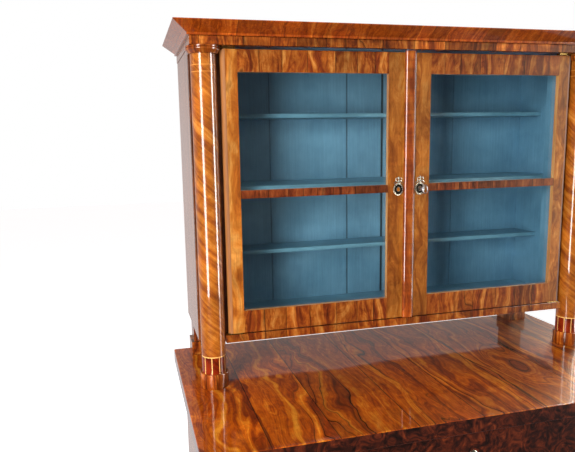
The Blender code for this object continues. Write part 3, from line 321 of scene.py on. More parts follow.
def veneer(
    name, grain="Z", across="X", leaf=0.07, vary=0.0, mirror=False, joints=(), tones=(), luck=0.0,
    rings=26.0, swirl=2.4, swirl_size=0.13, knots=1.5, veins=0.6, vein_count=1.0, mottle=0.42, fleck=0.020,
    colours=WALNUT, spread=0.16, curl=0.25, tone=(0.74, 1.16), seam=0.55, seam_width=1.1,
    ripple=0.10, lean=0.0, gloss=0.045, wrapped=False, tilt=0.0, inlay=None,
):
    """Walnut veneer: tone = noise(rings x across + swirl x noise(place) + knots), mixed with small flecks.

    Joints are places across the grain where leaves meet, and tones gives how light each leaf between them
    is. Without joints, leaves are as wide as leaf, give or take vary. A lean other than 0 tips each leaf a
    little, so that it mirrors the room from another angle than its neighbours.
    """
    material, tree, place = new_material("french_polished_walnut_" + name)
    if wrapped:
        place = add(tree, "ShaderNodeUVMap", uv_map="around").outputs[0]
        turn = {"Vector": place, "Rotation": (0, 0, math.radians(tilt))}
        place = add(tree, "ShaderNodeMapping", turn).outputs[0]
    axes = add(tree, "ShaderNodeSeparateXYZ", {0: place}).outputs
    third = ({"X", "Y", "Z"} - {grain, across}).pop()
    a, b, c = axes[AXES[grain]], axes[AXES[across]], axes[AXES[third]]

    # which leaf this is, and how far the nearest joint is
    lights = []
    if joints:
        count, nearest, given = 0.0, 1.0, tones[0] if tones else 1.0
        for k, x in enumerate(joints):
            passed = calc(tree, "GREATER_THAN", b, x)
            count = calc(tree, "ADD", count, passed)
            nearest = calc(tree, "MINIMUM", nearest, away(tree, b, x))
            if tones:
                given = calc(tree, "MULTIPLY_ADD", passed, tones[k + 1] - tones[k], given)
        lights = [given] if tones else []
    else:
        bent = calc(tree, "SINE", calc(tree, "MULTIPLY", b, 23.0))
        turns = calc(tree, "DIVIDE", calc(tree, "MULTIPLY_ADD", bent, vary, b), leaf)
        count = calc(tree, "FLOOR", turns)
        nearest = product(tree, calc(tree, "PINGPONG", turns, 0.5), leaf)
    local, figure = b, count
    if mirror:
        local = calc(tree, "PINGPONG", b, leaf)
        figure = calc(tree, "FLOOR", product(tree, count, 0.5))
    start, jump = dice(tree, calc(tree, "ADD", figure, luck))
    own = dice(tree, calc(tree, "ADD", count, luck))[0]
    spot = add(tree, "ShaderNodeCombineXYZ", {0: local, 1: a, 2: c}).outputs[0]
    spot = add(tree, "ShaderNodeVectorMath", {0: spot, 1: scaled(tree, jump, 9.0)}).outputs[0]

    # the ring count, and the wood's tone along it
    slow = stretched(tree, spot, (1.0, 0.45, 1.0))
    bend = noise(tree, slow, 1 / swirl_size, detail=2.5, distortion=0.6)
    eye = to_nearest(tree, slow, 0.55 / swirl_size)
    eye = remap(tree, eye, 0.0, 0.42, knots, 0.0, interpolation_type="SMOOTHERSTEP")
    ring = calc(tree, "MULTIPLY_ADD", local, rings, eye)
    ring = calc(tree, "MULTIPLY_ADD", bend, swirl, ring)
    ring = calc(tree, "MULTIPLY_ADD", start, 40.0, ring)
    band = noise_along(tree, ring, 1.0, detail=7.0, roughness=0.7)
    flecks = stretched(tree, spot, (1.0, 0.34, 1.0))
    flecks = noise(tree, flecks, 1 / fleck, detail=6.0, roughness=0.68, distortion=1.6)
    places = [0.49 + k * spread for k in (-1.0, -0.3, 0.25, 1.0)]
    wood = ramp(tree, mix(tree, mottle, band, flecks), list(zip(places, colours[1:])))

    # dark veins follow the rings: a line at every whole number of a wandering count, and half are left out
    wander = noise_along(tree, ring, 0.8)
    vein = calc(tree, "MULTIPLY_ADD", wander, 2.6, product(tree, ring, vein_count))
    which = remap(tree, dice(tree, calc(tree, "ROUND", vein))[0], 0.3, 0.6)
    near = calc(tree, "PINGPONG", vein, 0.5)
    patch = remap(tree, noise(tree, slow, 7.0), 0.42, 0.58, 0.25, 1.0)
    patch = product(tree, patch, which)
    halo = remap(tree, near, 0.0, 0.22, 0.6 * veins, 0.0, interpolation_type="SMOOTHSTEP")
    wood = blend(tree, product(tree, halo, patch), wood, linear(colours[1]))
    thin = remap(tree, near, 0.02, 0.07, veins, 0.0)
    wood = blend(tree, product(tree, thin, patch), wood, linear(colours[0]))

    # how light the wood is: fibres 1 to 2 mm apart (coarser than real ones, so that they show), curl across
    # the grain, clouds, each leaf's own tone, and joints drawn one to two millimetres wide, so that they show
    fibres = noise(tree, stretched(tree, spot, (520.0, 11.0, 520.0)), 1.0)
    cross = noise(tree, stretched(tree, spot, (9.0, 62.0, 9.0)), 1.0, detail=3.0, distortion=0.8)
    cloud = noise(tree, spot, 8.0, detail=1.0)
    light = product(
        tree,
        remap(tree, fibres, 0.3, 0.7, 0.84, 1.12),
        remap(tree, cross, 0.3, 0.7, 1.0 - curl, 1.0 + curl),
        remap(tree, cloud, 0.35, 0.65, 0.84, 1.16),
        remap(tree, own, 0.0, 1.0, *tone),
        *lights,
        remap(tree, nearest, 0.3 * seam_width * MM, seam_width * MM, 1.0 - seam, 1.0),
    )
    wood = scaled(tree, wood, light)
    if inlay:
        wood = inlay(tree, wood)

    looks = POLISH | {"Base Color": wood, "Roughness": remap(tree, fibres, 0.0, 1.0, 0.34, 0.5)}
    looks |= {"Coat Roughness": gloss, "Coat Tint": linear("#FFF0D8")}
    if ripple:
        slope = calc(tree, "MULTIPLY_ADD", own, lean, -0.5 * lean)
        wave = calc(tree, "MULTIPLY_ADD", slope, a, noise(tree, place, 9.0, roughness=0.4))
        dips = bump(tree, wave, ripple, 12 * MM)
        looks |= {"Normal": dips, "Coat Normal": dips}
    return skinned(material, looks)


# %% [markdown]
# ## The veneers of this desk
# The top is laid from eight leaves that run from back to front. The doors' stiles are single leaves, and
# their rails are short leaves with upright grain. The frieze and the cornice are narrow upright leaves, each
# of another tone. The drawer fronts and the top's edge are dark burr.

# %% Veneers
STILE_OUTER, STILE_INNER = PANE_LOW.x + 7 * MM, PANE_HIGH.x - 7 * MM
RAIL_JOINTS = [STILE_OUTER + step for step in (0.052, 0.108, 0.171, 0.242, 0.300, 0.345)]
RAIL_JOINTS += [0.0] + [-x for x in reversed(RAIL_JOINTS)]
TOP_JOINTS = (-0.457, -0.313, -0.136, 0.018, 0.170, 0.325, 0.462)
TOP_TONES = (1.05, 1.0, 0.96, 0.88, 0.84, 0.84, 0.88, 0.92)

TOP_VENEER = veneer(
    "top", grain="Y", joints=TOP_JOINTS, tones=TOP_TONES, tone=(0.80, 1.04),
    rings=24.0, swirl=3.4, swirl_size=0.12, knots=2.6, veins=1.15, vein_count=1.6, mottle=0.36, fleck=0.022,
    spread=0.15, curl=0.10, ripple=0.06, lean=12.0, gloss=0.006, seam=0.9, seam_width=1.8, luck=2.0,
    colours=("#0C0502", "#4C1A02", "#8C3603", "#C26106", "#E89E30"),
)
STILE_VENEER = veneer(
    "stiles", joints=(-0.25, 0.0, 0.25), tones=(0.95, 0.69, 0.69, 0.80), rings=24.0,
    swirl=3.2, swirl_size=0.075, knots=0.9, veins=0.35, mottle=0.5, fleck=0.028, spread=0.17, curl=0.08,
    luck=7.0, tone=(1.0, 1.1), colours=("#1A0A04", "#733B12", "#9A561A", "#BC762C", "#DAA258"),
)
RAIL_VENEER = veneer(
    "rails", joints=RAIL_JOINTS, rings=30.0, swirl=3.2, swirl_size=0.08, knots=1.2,
    fleck=0.022, seam=0.6, seam_width=1.4, spread=0.15, curl=0.12, tone=(0.70, 1.06),
    colours=("#120703", "#3E1607", "#76310E", "#A25A1C", "#C88C48"),
)
MUNTIN_VENEER = veneer(
    "muntins", leaf=0.048, vary=0.014, rings=40.0, swirl=2.5, swirl_size=0.06,
    knots=0.5, veins=0.5, seam=0.7, seam_width=1.5, tone=(0.62, 1.0),
    colours=("#120703", "#36120A", "#642812", "#864220", "#A4663C"),
)
FRIEZE_VENEER = veneer(
    "frieze", leaf=0.105, vary=0.022, rings=30.0, swirl=2.8, swirl_size=0.09,
    knots=0.8, veins=0.5, tone=(0.6, 1.55), fleck=0.018, seam=0.7, seam_width=1.6, spread=0.14,
)
CORNICE = dict(leaf=0.044, vary=0.010, rings=44.0, swirl=2.4, swirl_size=0.08, veins=0.3, knots=0.4)
CORNICE |= dict(mottle=0.45, tone=(0.84, 1.28), fleck=0.012, curl=0.12, seam=0.35, seam_width=1.2)
CORNICE_VENEER = veneer(
    "cornice",
    colours=("#120703", "#5A2208", "#87380B", "#A65011", "#BE7029"), **CORNICE,
)
CORNICE_SIDE_VENEER = veneer(
    "cornice_sides", across="Y",
    colours=("#120703", "#4A1C07", "#76300A", "#94460F", "#AC6224"), **CORNICE,
)
SIDE_VENEER = veneer(
    "sides", across="Y", leaf=0.19, mirror=True, rings=34.0, swirl=1.6, swirl_size=0.4,
    knots=0.0, curl=0.05, tone=(0.9, 1.05), mottle=0.2, ripple=0.03,
    colours=("#120804", "#34170B", "#6E3C20", "#9A6440", "#B88258"),
)
print("leaves meet on the rails at", [round(x, 3) for x in RAIL_JOINTS])

# %% [markdown]
# ## Burr, solid wood and paint
# Burr comes from a growth full of buds, so its figure has no direction: small dark eyes in a mottled ground.
# Solid wood shows only fibres and slow bands. Inside, the cabinet is brushed with a blue-grey paint, whose
# strokes follow each board, with painted shade along the joints of the back boards.

# %% Plain finishes
def polished_burr(name, colours, size=0.035):
    """Dark burr: a mottled ground from warped noise, with darker eyes where bud cells are centred."""
    material, tree, place = new_material(name)
    ground = noise(tree, place, 1 / size, detail=6.0, roughness=0.62, distortion=2.2)
    wood = ramp(tree, ground, list(zip((0.33, 0.46, 0.58, 0.72), colours)))
    eyes = remap(tree, to_nearest(tree, place, 1.6 / size), 0.05, 0.26, 0.35, 1.0)
    dips = bump(tree, noise(tree, place, 11.0), 0.08, 10 * MM)
    looks = {"Base Color": scaled(tree, wood, eyes), "Roughness": remap(tree, ground, 0.0, 1.0, 0.32, 0.48)}
    looks |= {"Normal": dips, "Coat Normal": dips, "Coat Roughness": 0.05}
    return skinned(material, POLISH | looks)


def solid_wood(name, grain, colours, coat=0.0, rough=(0.45, 0.65), band=0.03):
    """Solid wood: fibres and slow bands that run along the grain."""
    material, tree, place = new_material(name)
    place = along(tree, place, grain, 0.06)
    bands = noise(tree, place, 1 / band, detail=4.0, roughness=0.6, distortion=0.8)
    wood = ramp(tree, bands, list(zip((0.3, 0.5, 0.7), colours)))
    fibres = noise(tree, place, 460.0)
    wood = scaled(tree, wood, remap(tree, fibres, 0.3, 0.7, 0.82, 1.12))
    looks = {"Base Color": wood, "Roughness": remap(tree, fibres, 0.0, 1.0, *rough)}
    looks |= {"Normal": bump(tree, fibres, 0.25, 0.4 * MM)}
    return skinned(material, looks | {"Coat Weight": coat, "Coat Roughness": 0.08, "Coat IOR": 1.5})


def brushed_paint(name, stroke, colours, joints=()):
    """Oil paint brushed on boards: fine strokes along one axis, uneven cover, and painted shade along the
    joints.

    A joint is (x, half width in mm, how light it stays)."""
    material, tree, place = new_material(name)
    strokes = noise(tree, along(tree, place, stroke, 0.035), 260.0, detail=3.0, roughness=0.6)
    cloud = noise(tree, place, 7.0, detail=5.0, roughness=0.6)
    paint = blend(tree, remap(tree, cloud, 0.35, 0.65), linear(colours[0]), linear(colours[1]))
    paint = scaled(tree, paint, remap(tree, strokes, 0.3, 0.7, 0.9, 1.1))
    across = add(tree, "ShaderNodeSeparateXYZ", {0: place}).outputs["X"]
    for x, width, shade in joints:
        # each joint gets a band of painted shade, darkest at the joint itself
        painted_joint_shade = remap(tree, away(tree, across, x), width * 0.5 * MM, width * MM, shade, 1.0)
        paint = scaled(tree, paint, painted_joint_shade)
    looks = {"Base Color": paint, "Roughness": remap(tree, cloud, 0.0, 1.0, 0.36, 0.58)}
    return skinned(material, looks | {"Normal": bump(tree, strokes, 0.3, 0.3 * MM)})


# the joints of the back boards: x, half width in mm, and how light the painted shade leaves the paint
BOARD_JOINTS = ((-0.300, 2.0, 0.6), (-0.063, 3.2, 0.42), (0.0505, 4.5, 0.10), (0.290, 2.0, 0.7))
BURR = polished_burr("french_polished_walnut_burr", ("#120805", "#2E120B", "#54200F", "#7C3518"))
DARK_WALNUT = solid_wood(
    "french_polished_dark_walnut", "X", ("#2A1109", "#45200F", "#5F3018"), coat=1.0, rough=(0.35, 0.5)
)
EDGE_WALNUT = solid_wood("polished_walnut_board_edge", "Z", ("#9C5F2C", "#C08548", "#D9A765"), coat=0.6)
TURNED_WALNUT = solid_wood(
    "french_polished_turned_walnut", "X", ("#5A270F", "#8A4517", "#A9602A"), coat=1.0, rough=(0.3, 0.45)
)
OAK = solid_wood("waxed_oak", "Y", ("#8A6238", "#B08552", "#C8A06C"), coat=0.15)
OAK_ACROSS = solid_wood("waxed_oak_boards", "X", ("#8A6238", "#B08552", "#C8A06C"), coat=0.15)
DULL = dict(rough=(0.6, 0.8), band=0.05)
PINE = solid_wood("aged_pine_boards", "Z", ("#7C5630", "#A37B4B", "#BC9763"), **DULL)
PINE_LEVEL = solid_wood("aged_pine_level_boards", "X", ("#6A4826", "#8C673C", "#A58350"), **DULL)
GALLERY = solid_wood("satin_walnut", "X", ("#6B3A18", "#94592A", "#B17A44"), coat=0.5)
BLUE_UPRIGHT = brushed_paint("brushed_blue_oil_paint_boards", "Z", ("#5C86A2", "#749EBB"), BOARD_JOINTS)
BLUE_LEVEL = brushed_paint("brushed_blue_oil_paint_shelves", "X", ("#588399", "#7AA6BE"))
print("one burr, seven woods and two paints")

# %% [markdown]
# ## Metal and glass
# The plates are cast brass with an old silvery skin: bright where fingers rub the high spots, dark in the
# hollows, where a near-black ring lines each plate's recess; each drawer's keyhole is a dark sheet of painted
# shade. The key is forged iron. The panes are old drawn glass, nearly flat, with a slow wave. Glass blocks
# lamps in a path tracer unless shadow rays pass, so they meet a clear shader there.

# %% Metal and glass
def old_metal(name, bright, dark, rough, scale=260.0):
    """Metal whose tarnish follows fine noise: it is darker and duller in patches."""
    material, tree, place = new_material(name)
    tarnish = noise(tree, place, scale, detail=5.0, roughness=0.65)
    cover = remap(tree, tarnish, 0.38, 0.66)
    looks = {"Base Color": blend(tree, cover, linear(bright), linear(dark)), "Metallic": 1.0}
    looks |= {"Roughness": remap(tree, cover, 0.0, 1.0, *rough), "Normal": bump(tree, tarnish, 0.2, 0.2 * MM)}
    return skinned(material, looks)


def drawn_glass(name, tint):
    """Thin clear glass with a slow wave, which lets lamps through."""
    material, tree, place = new_material(name)
    looks = {"Base Color": linear(tint), "Roughness": 0.0, "IOR": 1.5, "Transmission Weight": 1.0}
    looks |= {"Normal": bump(tree, noise(tree, place, 14.0), 0.01, 4 * MM)}
    glass = add(tree, "ShaderNodeBsdfPrincipled", looks).outputs[0]
    clear = add(tree, "ShaderNodeBsdfTransparent", {"Color": linear(tint)}).outputs[0]
    paths = add(tree, "ShaderNodeLightPath").outputs
    lamp = calc(tree, "MAXIMUM", paths["Is Shadow Ray"], paths["Is Diffuse Ray"])
    both = add(tree, "ShaderNodeMixShader", {0: lamp, 1: glass, 2: clear}).outputs[0]
    add(tree, "ShaderNodeOutputMaterial", {"Surface": both})
    return material


CAST_BRASS = old_metal("tarnished_cast_brass", "#D6CDB8", "#2C261D", (0.16, 0.5))
STAY_BRASS = old_metal("rubbed_sheet_brass", "#C2A25C", "#8A6F3C", (0.22, 0.42), scale=120.0)
IRON = old_metal("worn_forged_iron", "#DCDCE0", "#6E6A6A", (0.3, 0.5))
# near-black brass: it lines each plate's recess, and on the drawers it is the painted shade of each keyhole
DARK_RECESS_AND_KEYHOLE_SHADE = old_metal("near_black_brass_and_keyhole_shade", "#241E17", "#120E0A", (0.5, 0.8))
GLASS = drawn_glass("old_drawn_glass", "#EEF5F3")
print("four metals and one glass")

# %% [markdown]
# ## Boards with eased edges
# A joiner takes the sharp edge off every board with a plane or sandpaper, and that thin rounding catches the
# light. The Bevel modifier makes it on a copy of each solid. The Weighted Normal modifier then keeps the wide
# faces flat to the eye, which matters on polish that mirrors the room.

# %% Eased copies of the boards
def eased(node, finishes, choose=None, width=1.0, cuts=()):
    """A copy of a solid, triangles merged, edges rounded by width in mm. choose gives each face its finish.

    Each cut is an x where wide faces are divided, so that the two parts can differ."""
    form = bmesh.new()
    form.from_mesh(NODES[node].data)
    bmesh.ops.remove_doubles(form, verts=form.verts, dist=1e-5)
    bmesh.ops.dissolve_limit(form, angle_limit=math.radians(0.5), verts=form.verts, edges=form.edges)
    for x in cuts:
        geometry = [*form.verts, *form.edges, *form.faces]
        bmesh.ops.bisect_plane(form, geom=geometry, plane_co=(x, 0, 0), plane_no=(1, 0, 0))
    mesh = bpy.data.meshes.new(node + "_board")
    form.to_mesh(mesh)
    form.free()
    for material in finishes:
        mesh.materials.append(material)
    if choose:
        count = len(mesh.polygons)
        normals, centres = np.empty(count * 3), np.empty(count * 3)
        mesh.polygons.foreach_get("normal", normals)
        mesh.polygons.foreach_get("center", centres)
        picked = choose(normals.reshape(-1, 3), centres.reshape(-1, 3))
        mesh.polygons.foreach_set("material_index", picked.astype(np.int32))
    mesh.shade_smooth()
    mesh.set_sharp_from_angle(angle=math.radians(40))
    board = bpy.data.objects.new(node + "_board", mesh)
    bpy.context.scene.collection.objects.link(board)
    bevel = board.modifiers.new("eased", "BEVEL")
    bevel.width, bevel.segments, bevel.limit_method = width * MM, 3, "ANGLE"
    bevel.angle_limit, bevel.use_clamp_overlap = math.radians(30), True
    weighted = board.modifiers.new("flat_faces", "WEIGHTED_NORMAL")
    weighted.weight, weighted.keep_sharp = 90, False
    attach(board, BODY_OF[node])
    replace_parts(board, node)
    return board


FACING = 0.7  # a face looks along an axis when its normal has this much of it


def by_normal(*rules, rest=0):
    """A chooser: each rule is (axis, sign, finish), and a face that looks that way takes that finish."""

    def choose(normals, centres):
        picked = np.full(len(normals), rest)
        for axis, sign, finish in rules:
            picked[normals[:, AXES[axis]] * sign > FACING] = finish
        return picked

    return choose


def inside_case(inward):
    """A chooser for a cabinet side: veneer outside, paint on all faces inside, bare pine at the very back."""

    def choose(normals, centres):
        picked = by_normal(("X", inward, 1), ("Y", 1, 1))(normals, centres)
        picked[(normals[:, 1] > FACING) & (centres[:, 1] > centres[:, 1].max() - 30 * MM)] = 2
        return picked

    return choose


def front_edge(normals, centres):
    """Dark walnut on the foremost faces, oak behind."""
    return (normals[:, 1] < -FACING) & (centres[:, 1] < centres[:, 1].min() + 4 * MM)


DOOR_EDGE = -DOOR_LOW.x
BAR_START, BAR_END = -STILE_INNER, -STILE_OUTER
SIGHT_EDGE, HANGING_WIDTH, RAIL_HEIGHT, RAIL_INSIDE = 8 * MM, 12 * MM, 0.10, 0.02


def on_door(normals, centres):
    """Faces by place: 0 stile, 1 sight edge round the glass, 2 back, 3 rail, 4 muntin, 5 hanging edge."""
    picked = np.zeros(len(normals))
    side, height = np.abs(centres[:, 0]), centres[:, 2]
    inward = np.minimum(height - DOOR_LOW.z, DOOR_HIGH.z - height)
    middle = (side > BAR_START - SIGHT_EDGE) & (side < BAR_END + SIGHT_EDGE) & (inward > RAIL_INSIDE)
    picked[middle & (np.abs(normals[:, 1]) < FACING)] = 1
    picked[normals[:, 1] > FACING] = 2
    bars = (side > BAR_START) & (side < BAR_END) & (normals[:, 1] < -FACING)
    picked[bars] = 3
    picked[bars & (inward > RAIL_HEIGHT)] = 4
    picked[(side > DOOR_EDGE - HANGING_WIDTH) & (np.abs(normals[:, 0]) > 0.1)] = 5
    return picked


HANGING_EDGE = solid_wood("satin_walnut_edge", "Z", ("#6A3A16", "#8A5220", "#A2642C"), rough=(0.6, 0.75))
DOOR_FINISHES = [STILE_VENEER, EDGE_WALNUT, DARK_WALNUT, RAIL_VENEER, MUNTIN_VENEER, HANGING_EDGE]
for node, side in (("door_frame_left", -1), ("door_frame_right", 1)):
    eased(node, DOOR_FINISHES, on_door, cuts=[side * BAR_END, side * BAR_START])
both_ends = by_normal(("X", 1, 1), ("X", -1, 1))
foremost, rearmost = by_normal(("Y", -1, 1)), by_normal(("Y", 1, 1))
leaves_and_burr = by_normal(("Z", 1, 0), ("Z", -1, 2), rest=1)

BOARDS = (  # nodes, finishes, how each face takes one, and the width of the easing in mm
    ("cabinet_rail", [RAIL_VENEER], None, 1.2),
    ("frieze", [FRIEZE_VENEER, SIDE_VENEER], both_ends, 0.6),
    ("cornice", [CORNICE_VENEER, CORNICE_SIDE_VENEER], both_ends, 0.7),
    ("base_side_left base_side_right", [SIDE_VENEER, RAIL_VENEER], foremost, 1.2),
    ("cabinet_side_left", [SIDE_VENEER, BLUE_UPRIGHT, PINE], inside_case(1), 1.2),
    ("cabinet_side_right", [SIDE_VENEER, BLUE_UPRIGHT, PINE], inside_case(-1), 1.2),
    ("cabinet_back", [BLUE_UPRIGHT, PINE], rearmost, 0.6),
    ("cabinet_floor", [BLUE_LEVEL, PINE_LEVEL], by_normal(("Z", -1, 1)), 0.6),
    ("cabinet_ceiling", [BLUE_LEVEL, PINE_LEVEL], by_normal(("Z", 1, 1)), 0.6),
    ("rear_post_left rear_post_right", [SIDE_VENEER, RAIL_VENEER], foremost, 1.0),
    ("desk_top", [TOP_VENEER, BURR, DARK_WALNUT], leaves_and_burr, 2.0),
    ("fall_front middle_drawer_front lower_drawer_front", [BURR, DARK_WALNUT], rearmost, 1.2),
    ("plinth_front writing_drawer_board", [DARK_WALNUT], None, 1.0),
    ("base_floor drawer_board writing_tray", [OAK_ACROSS, DARK_WALNUT], front_edge, 0.6),
    ("foot_front_left foot_front_right foot_back_left foot_back_right", [TURNED_WALNUT], None, 1.2),
    ("shelf_lower shelf_middle shelf_upper", [BLUE_LEVEL], None, 1.2),
)
for nodes, finishes, choose, width in BOARDS:
    for node in nodes.split():
        eased(node, finishes, choose, width)
print(2 + sum(len(nodes.split()) for nodes, *_ in BOARDS), "eased boards")

# %% [markdown]
# ## Turned columns
# Each column is turned on a lathe and then wrapped in veneer, whose grain runs down to the right in a slow
# spiral. A turned shape is a profile carried round an axis. Where a column stands against a flat board it was
# planed, so each ray from the axis stops at the nearer of the profile and the plane. The surface keeps two
# numbers for its pattern: metres round the shaft and metres up.

# %% Turned pieces
SIDES = 192
MAP_RADIUS = 0.030  # the map has one width for all pieces of a column


def turned(node, profile, finishes, limits=()):
    """A turned piece: radius(angle, height) = the smaller of profile(height) and the distance to each flat.

    The profile runs from the top down, as (radius, height, finish). A flat is a list of (nx, ny, distance):
    the ray leaves the piece where it has passed them all.
    """
    side = 1.0 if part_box(node)[0].x > 0 else -1.0
    kind = node.rsplit("_", 1)[0]
    axis = Vector((side * AXIS_X[kind], AXIS_Y[kind]))
    angle = np.linspace(0.0, 2 * np.pi, SIDES, endpoint=False) + np.pi / 2
    reach = np.full(SIDES, np.inf)
    for flat in limits:
        passed = np.zeros(SIDES)
        for nx, ny, distance in flat:
            toward = nx * side * np.cos(angle) + ny * np.sin(angle)
            with np.errstate(divide="ignore"):
                passed = np.maximum(passed, np.where(toward > 1e-6, distance / toward, np.inf))
        reach = np.minimum(reach, passed)
    radius, height = np.array([p[0] for p in profile]), np.array([p[1] for p in profile])
    rings = np.minimum(radius[:, None], reach[None, :])
    x = axis.x + rings * np.cos(angle)
    y = axis.y + rings * np.sin(angle)
    z = np.broadcast_to(height[:, None], x.shape)
    poles = [(axis.x, axis.y, height[0]), (axis.x, axis.y, height[-1])]
    points = np.concatenate([np.stack([x, y, z], -1).reshape(-1, 3), poles])
    k, i = np.meshgrid(np.arange(len(profile) - 1), np.arange(SIDES), indexing="ij")
    after = (i + 1) % SIDES
    quads = np.stack([k * SIDES + i, (k + 1) * SIDES + i, (k + 1) * SIDES + after, k * SIDES + after], -1)
    ring, last = np.arange(SIDES), (len(profile) - 1) * SIDES
    next_ring = (ring + 1) % SIDES
    top = np.stack([np.full(SIDES, len(points) - 2), ring, next_ring], -1)
    bottom = np.stack([np.full(SIDES, len(points) - 1), last + next_ring, last + ring], -1)
    faces = [*quads.reshape(-1, 4).tolist(), *top.tolist(), *bottom.tolist()]
    piece = plain_piece(node + "_turned", points, faces, finishes, crease=28)
    mesh = piece.data
    finish = np.concatenate([np.repeat([p[2] for p in profile[1:]], SIDES), np.zeros(SIDES), np.zeros(SIDES)])
    mesh.polygons.foreach_set("material_index", finish.astype(np.int32))

    # the map: metres round, from the back, and metres up; the last face of each ring ends a full turn on
    corner = np.empty(len(mesh.loops), np.int32)
    mesh.loops.foreach_get("vertex_index", corner)
    turn = np.where(corner < len(points) - 2, corner % SIDES, 0) / SIDES
    owner = np.repeat(np.arange(len(faces)), [len(f) for f in faces])
    turn[(owner % SIDES == SIDES - 1) & (turn == 0)] = 1.0
    around = np.stack([turn * 2 * np.pi * MAP_RADIUS, points[corner, 2]], -1)
    layer = mesh.uv_layers.new(name="around")
    layer.data.foreach_set("uv", around.astype(np.float32).ravel())
    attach(piece, BODY_OF[node])
    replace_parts(piece, node)
    return piece


shaft_low, shaft_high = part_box("column_shaft_right")
base_low, base_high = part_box("base_column_right")
UPPER = ("column_shaft", "column_drum", "column_capital")
AXIS_X = {name: (shaft_low.x + shaft_high.x) / 2 for name in UPPER}
AXIS_Y = {name: (shaft_low.y + shaft_high.y) / 2 for name in UPPER}
CAPITAL_RADIUS, BASE_CAPITAL_RADIUS, DRUM_RADIUS, DRUM_HEIGHT = 0.0405, 0.0385, 0.0353, 37.2 * MM
AXIS_X["base_column"] = base_high.x - BASE_CAPITAL_RADIUS
AXIS_Y["base_column"] = base_low.y + BASE_CAPITAL_RADIUS
SHAFT_RADIUS = (shaft_high.x - shaft_low.x) / 2
print(f"columns at x {AXIS_X['column_shaft']:.4f}, radius {SHAFT_RADIUS * 1000:.0f} mm")

# %% [markdown]
# ## Stringing on the columns
# Thin lines of maple are let into the veneer: a ring and ten upright lines at each foot, and two rings and a
# few upright lines at each head. They lie flush, so they are drawn in the finish, from the distance to each
# line in metres on the wrapped map.

# %% Column veneers
UPRIGHTS = 10
FOOT_LINES, HEAD_LINES, SECOND_RING = 43 * MM, 25 * MM, 40.2 * MM


def stringing(tree, wood, low, high):
    """Maple lines: ring lines by height, upright lines by distance round, each with a soft edge of 0.3 mm.

    The foot's lines start at low, and the head's end at high; a high of 0 leaves the head plain."""
    around = add(tree, "ShaderNodeUVMap", uv_map="around").outputs[0]
    round_, height, _ = add(tree, "ShaderNodeSeparateXYZ", {0: around}).outputs

    def ring(z, width):
        return remap(tree, away(tree, height, z), width / 2 - 0.1 * MM, width / 2 + 0.2 * MM, 1.0, 0.0)

    def within(start, end):
        return product(tree, calc(tree, "GREATER_THAN", height, start), calc(tree, "LESS_THAN", height, end))

    step = 2 * math.pi * SHAFT_RADIUS / UPRIGHTS
    off = calc(tree, "PINGPONG", calc(tree, "ADD", round_, 0.5 * step), step / 2)
    foot = within(low, low + FOOT_LINES)
    red = {0: wood, 1: linear("#B8624A")[:3]}
    red = add(tree, "ShaderNodeVectorMath", red, operation="MULTIPLY").outputs[0]
    wood = blend(tree, foot, wood, red)
    lines = product(tree, foot, remap(tree, off, 0.95 * MM, 1.25 * MM, 1.0, 0.0))
    lines = calc(tree, "MAXIMUM", lines, ring(low + FOOT_LINES, 2.6 * MM))
    wood = blend(tree, lines, wood, linear("#F0C67E"))
    if high:
        lines = remap(tree, off, 0.45 * MM, 0.75 * MM, 0.8, 0.0)
        lines = product(tree, within(high - HEAD_LINES, high), lines)
        for z in (high - HEAD_LINES, high - SECOND_RING):
            lines = calc(tree, "MAXIMUM", lines, ring(z, 1.5 * MM))
        wood = blend(tree, product(tree, lines, 0.85), wood, linear("#DE9C50"))
    return wood


def on_shaft(tree, wood):
    return stringing(tree, wood, shaft_low.z, shaft_high.z)


def on_base_shaft(tree, wood):
    return stringing(tree, wood, base_low.z + DRUM_HEIGHT, 0.0)


COLUMN = dict(wrapped=True, grain="Y", across="X", joints=(5.0,), swirl_size=0.12, swirl=1.7, knots=0.0)
COLUMN |= dict(rings=40.0, veins=0.3, curl=0.15, ripple=0.0, gloss=0.03, spread=0.2, tone=(0.95, 1.0))
COLUMN |= dict(colours=("#180A04", "#5A270C", "#8F4A17", "#B86F24", "#D59A4E"))
SHAFT_VENEER = veneer("shaft", tilt=-50, inlay=on_shaft, **COLUMN)
BASE_SHAFT_VENEER = veneer("base_shaft", tilt=-50, inlay=on_base_shaft, **COLUMN)
RING = dict(wrapped=True, grain="Y", across="X", rings=60.0, swirl=2.0, swirl_size=0.05, knots=0.0, curl=0.1)
RING |= dict(ripple=0.0, gloss=0.03)
CAPITAL_VENEER = veneer("capital", leaf=0.0188, tone=(0.8, 1.15), **RING)
DRUM_VENEER = veneer("drum", leaf=0.0236, tone=(0.9, 1.35), seam=0.8, **RING)

# %% Columns
BEND = np.linspace(0.0, np.pi / 2, 6)


def capital(top, radius):
    """From the top down: a thin disc, a quirk, a round moulding, and a cone in to the shaft."""
    edge = radius - 1.4 * MM
    outline = [(edge + 1.2 * MM * math.sin(t), 1.2 * MM * (1 - math.cos(t))) for t in BEND]
    outline += [(edge + 1.2 * MM, 3.4 * MM), (edge - 0.6 * MM, 3.9 * MM)]
    outline += [(radius - 1.6 * MM * u * u, 7.4 * MM + 3.2 * MM * u) for u in np.linspace(-1.0, 1.0, 9)]
    outline += [(radius - 2.2 * MM, 11.0 * MM), (0.0352, 15.0 * MM), (0.0345, 16.2 * MM), (0.0335, 17.2 * MM)]
    return [(r, top - down, 0) for r, down in outline]


def drum(top, low, finish):
    """From the top down: a flat, a rounded edge and a straight side."""
    edge = 1.5 * MM
    outline = [(DRUM_RADIUS - edge * (1 - math.sin(t)), top - edge * (1 - math.cos(t))) for t in BEND]
    outline += [(DRUM_RADIUS, low + 1.0 * MM), (DRUM_RADIUS - 0.4 * MM, low)]
    return [(r, z, finish) for r, z in outline]


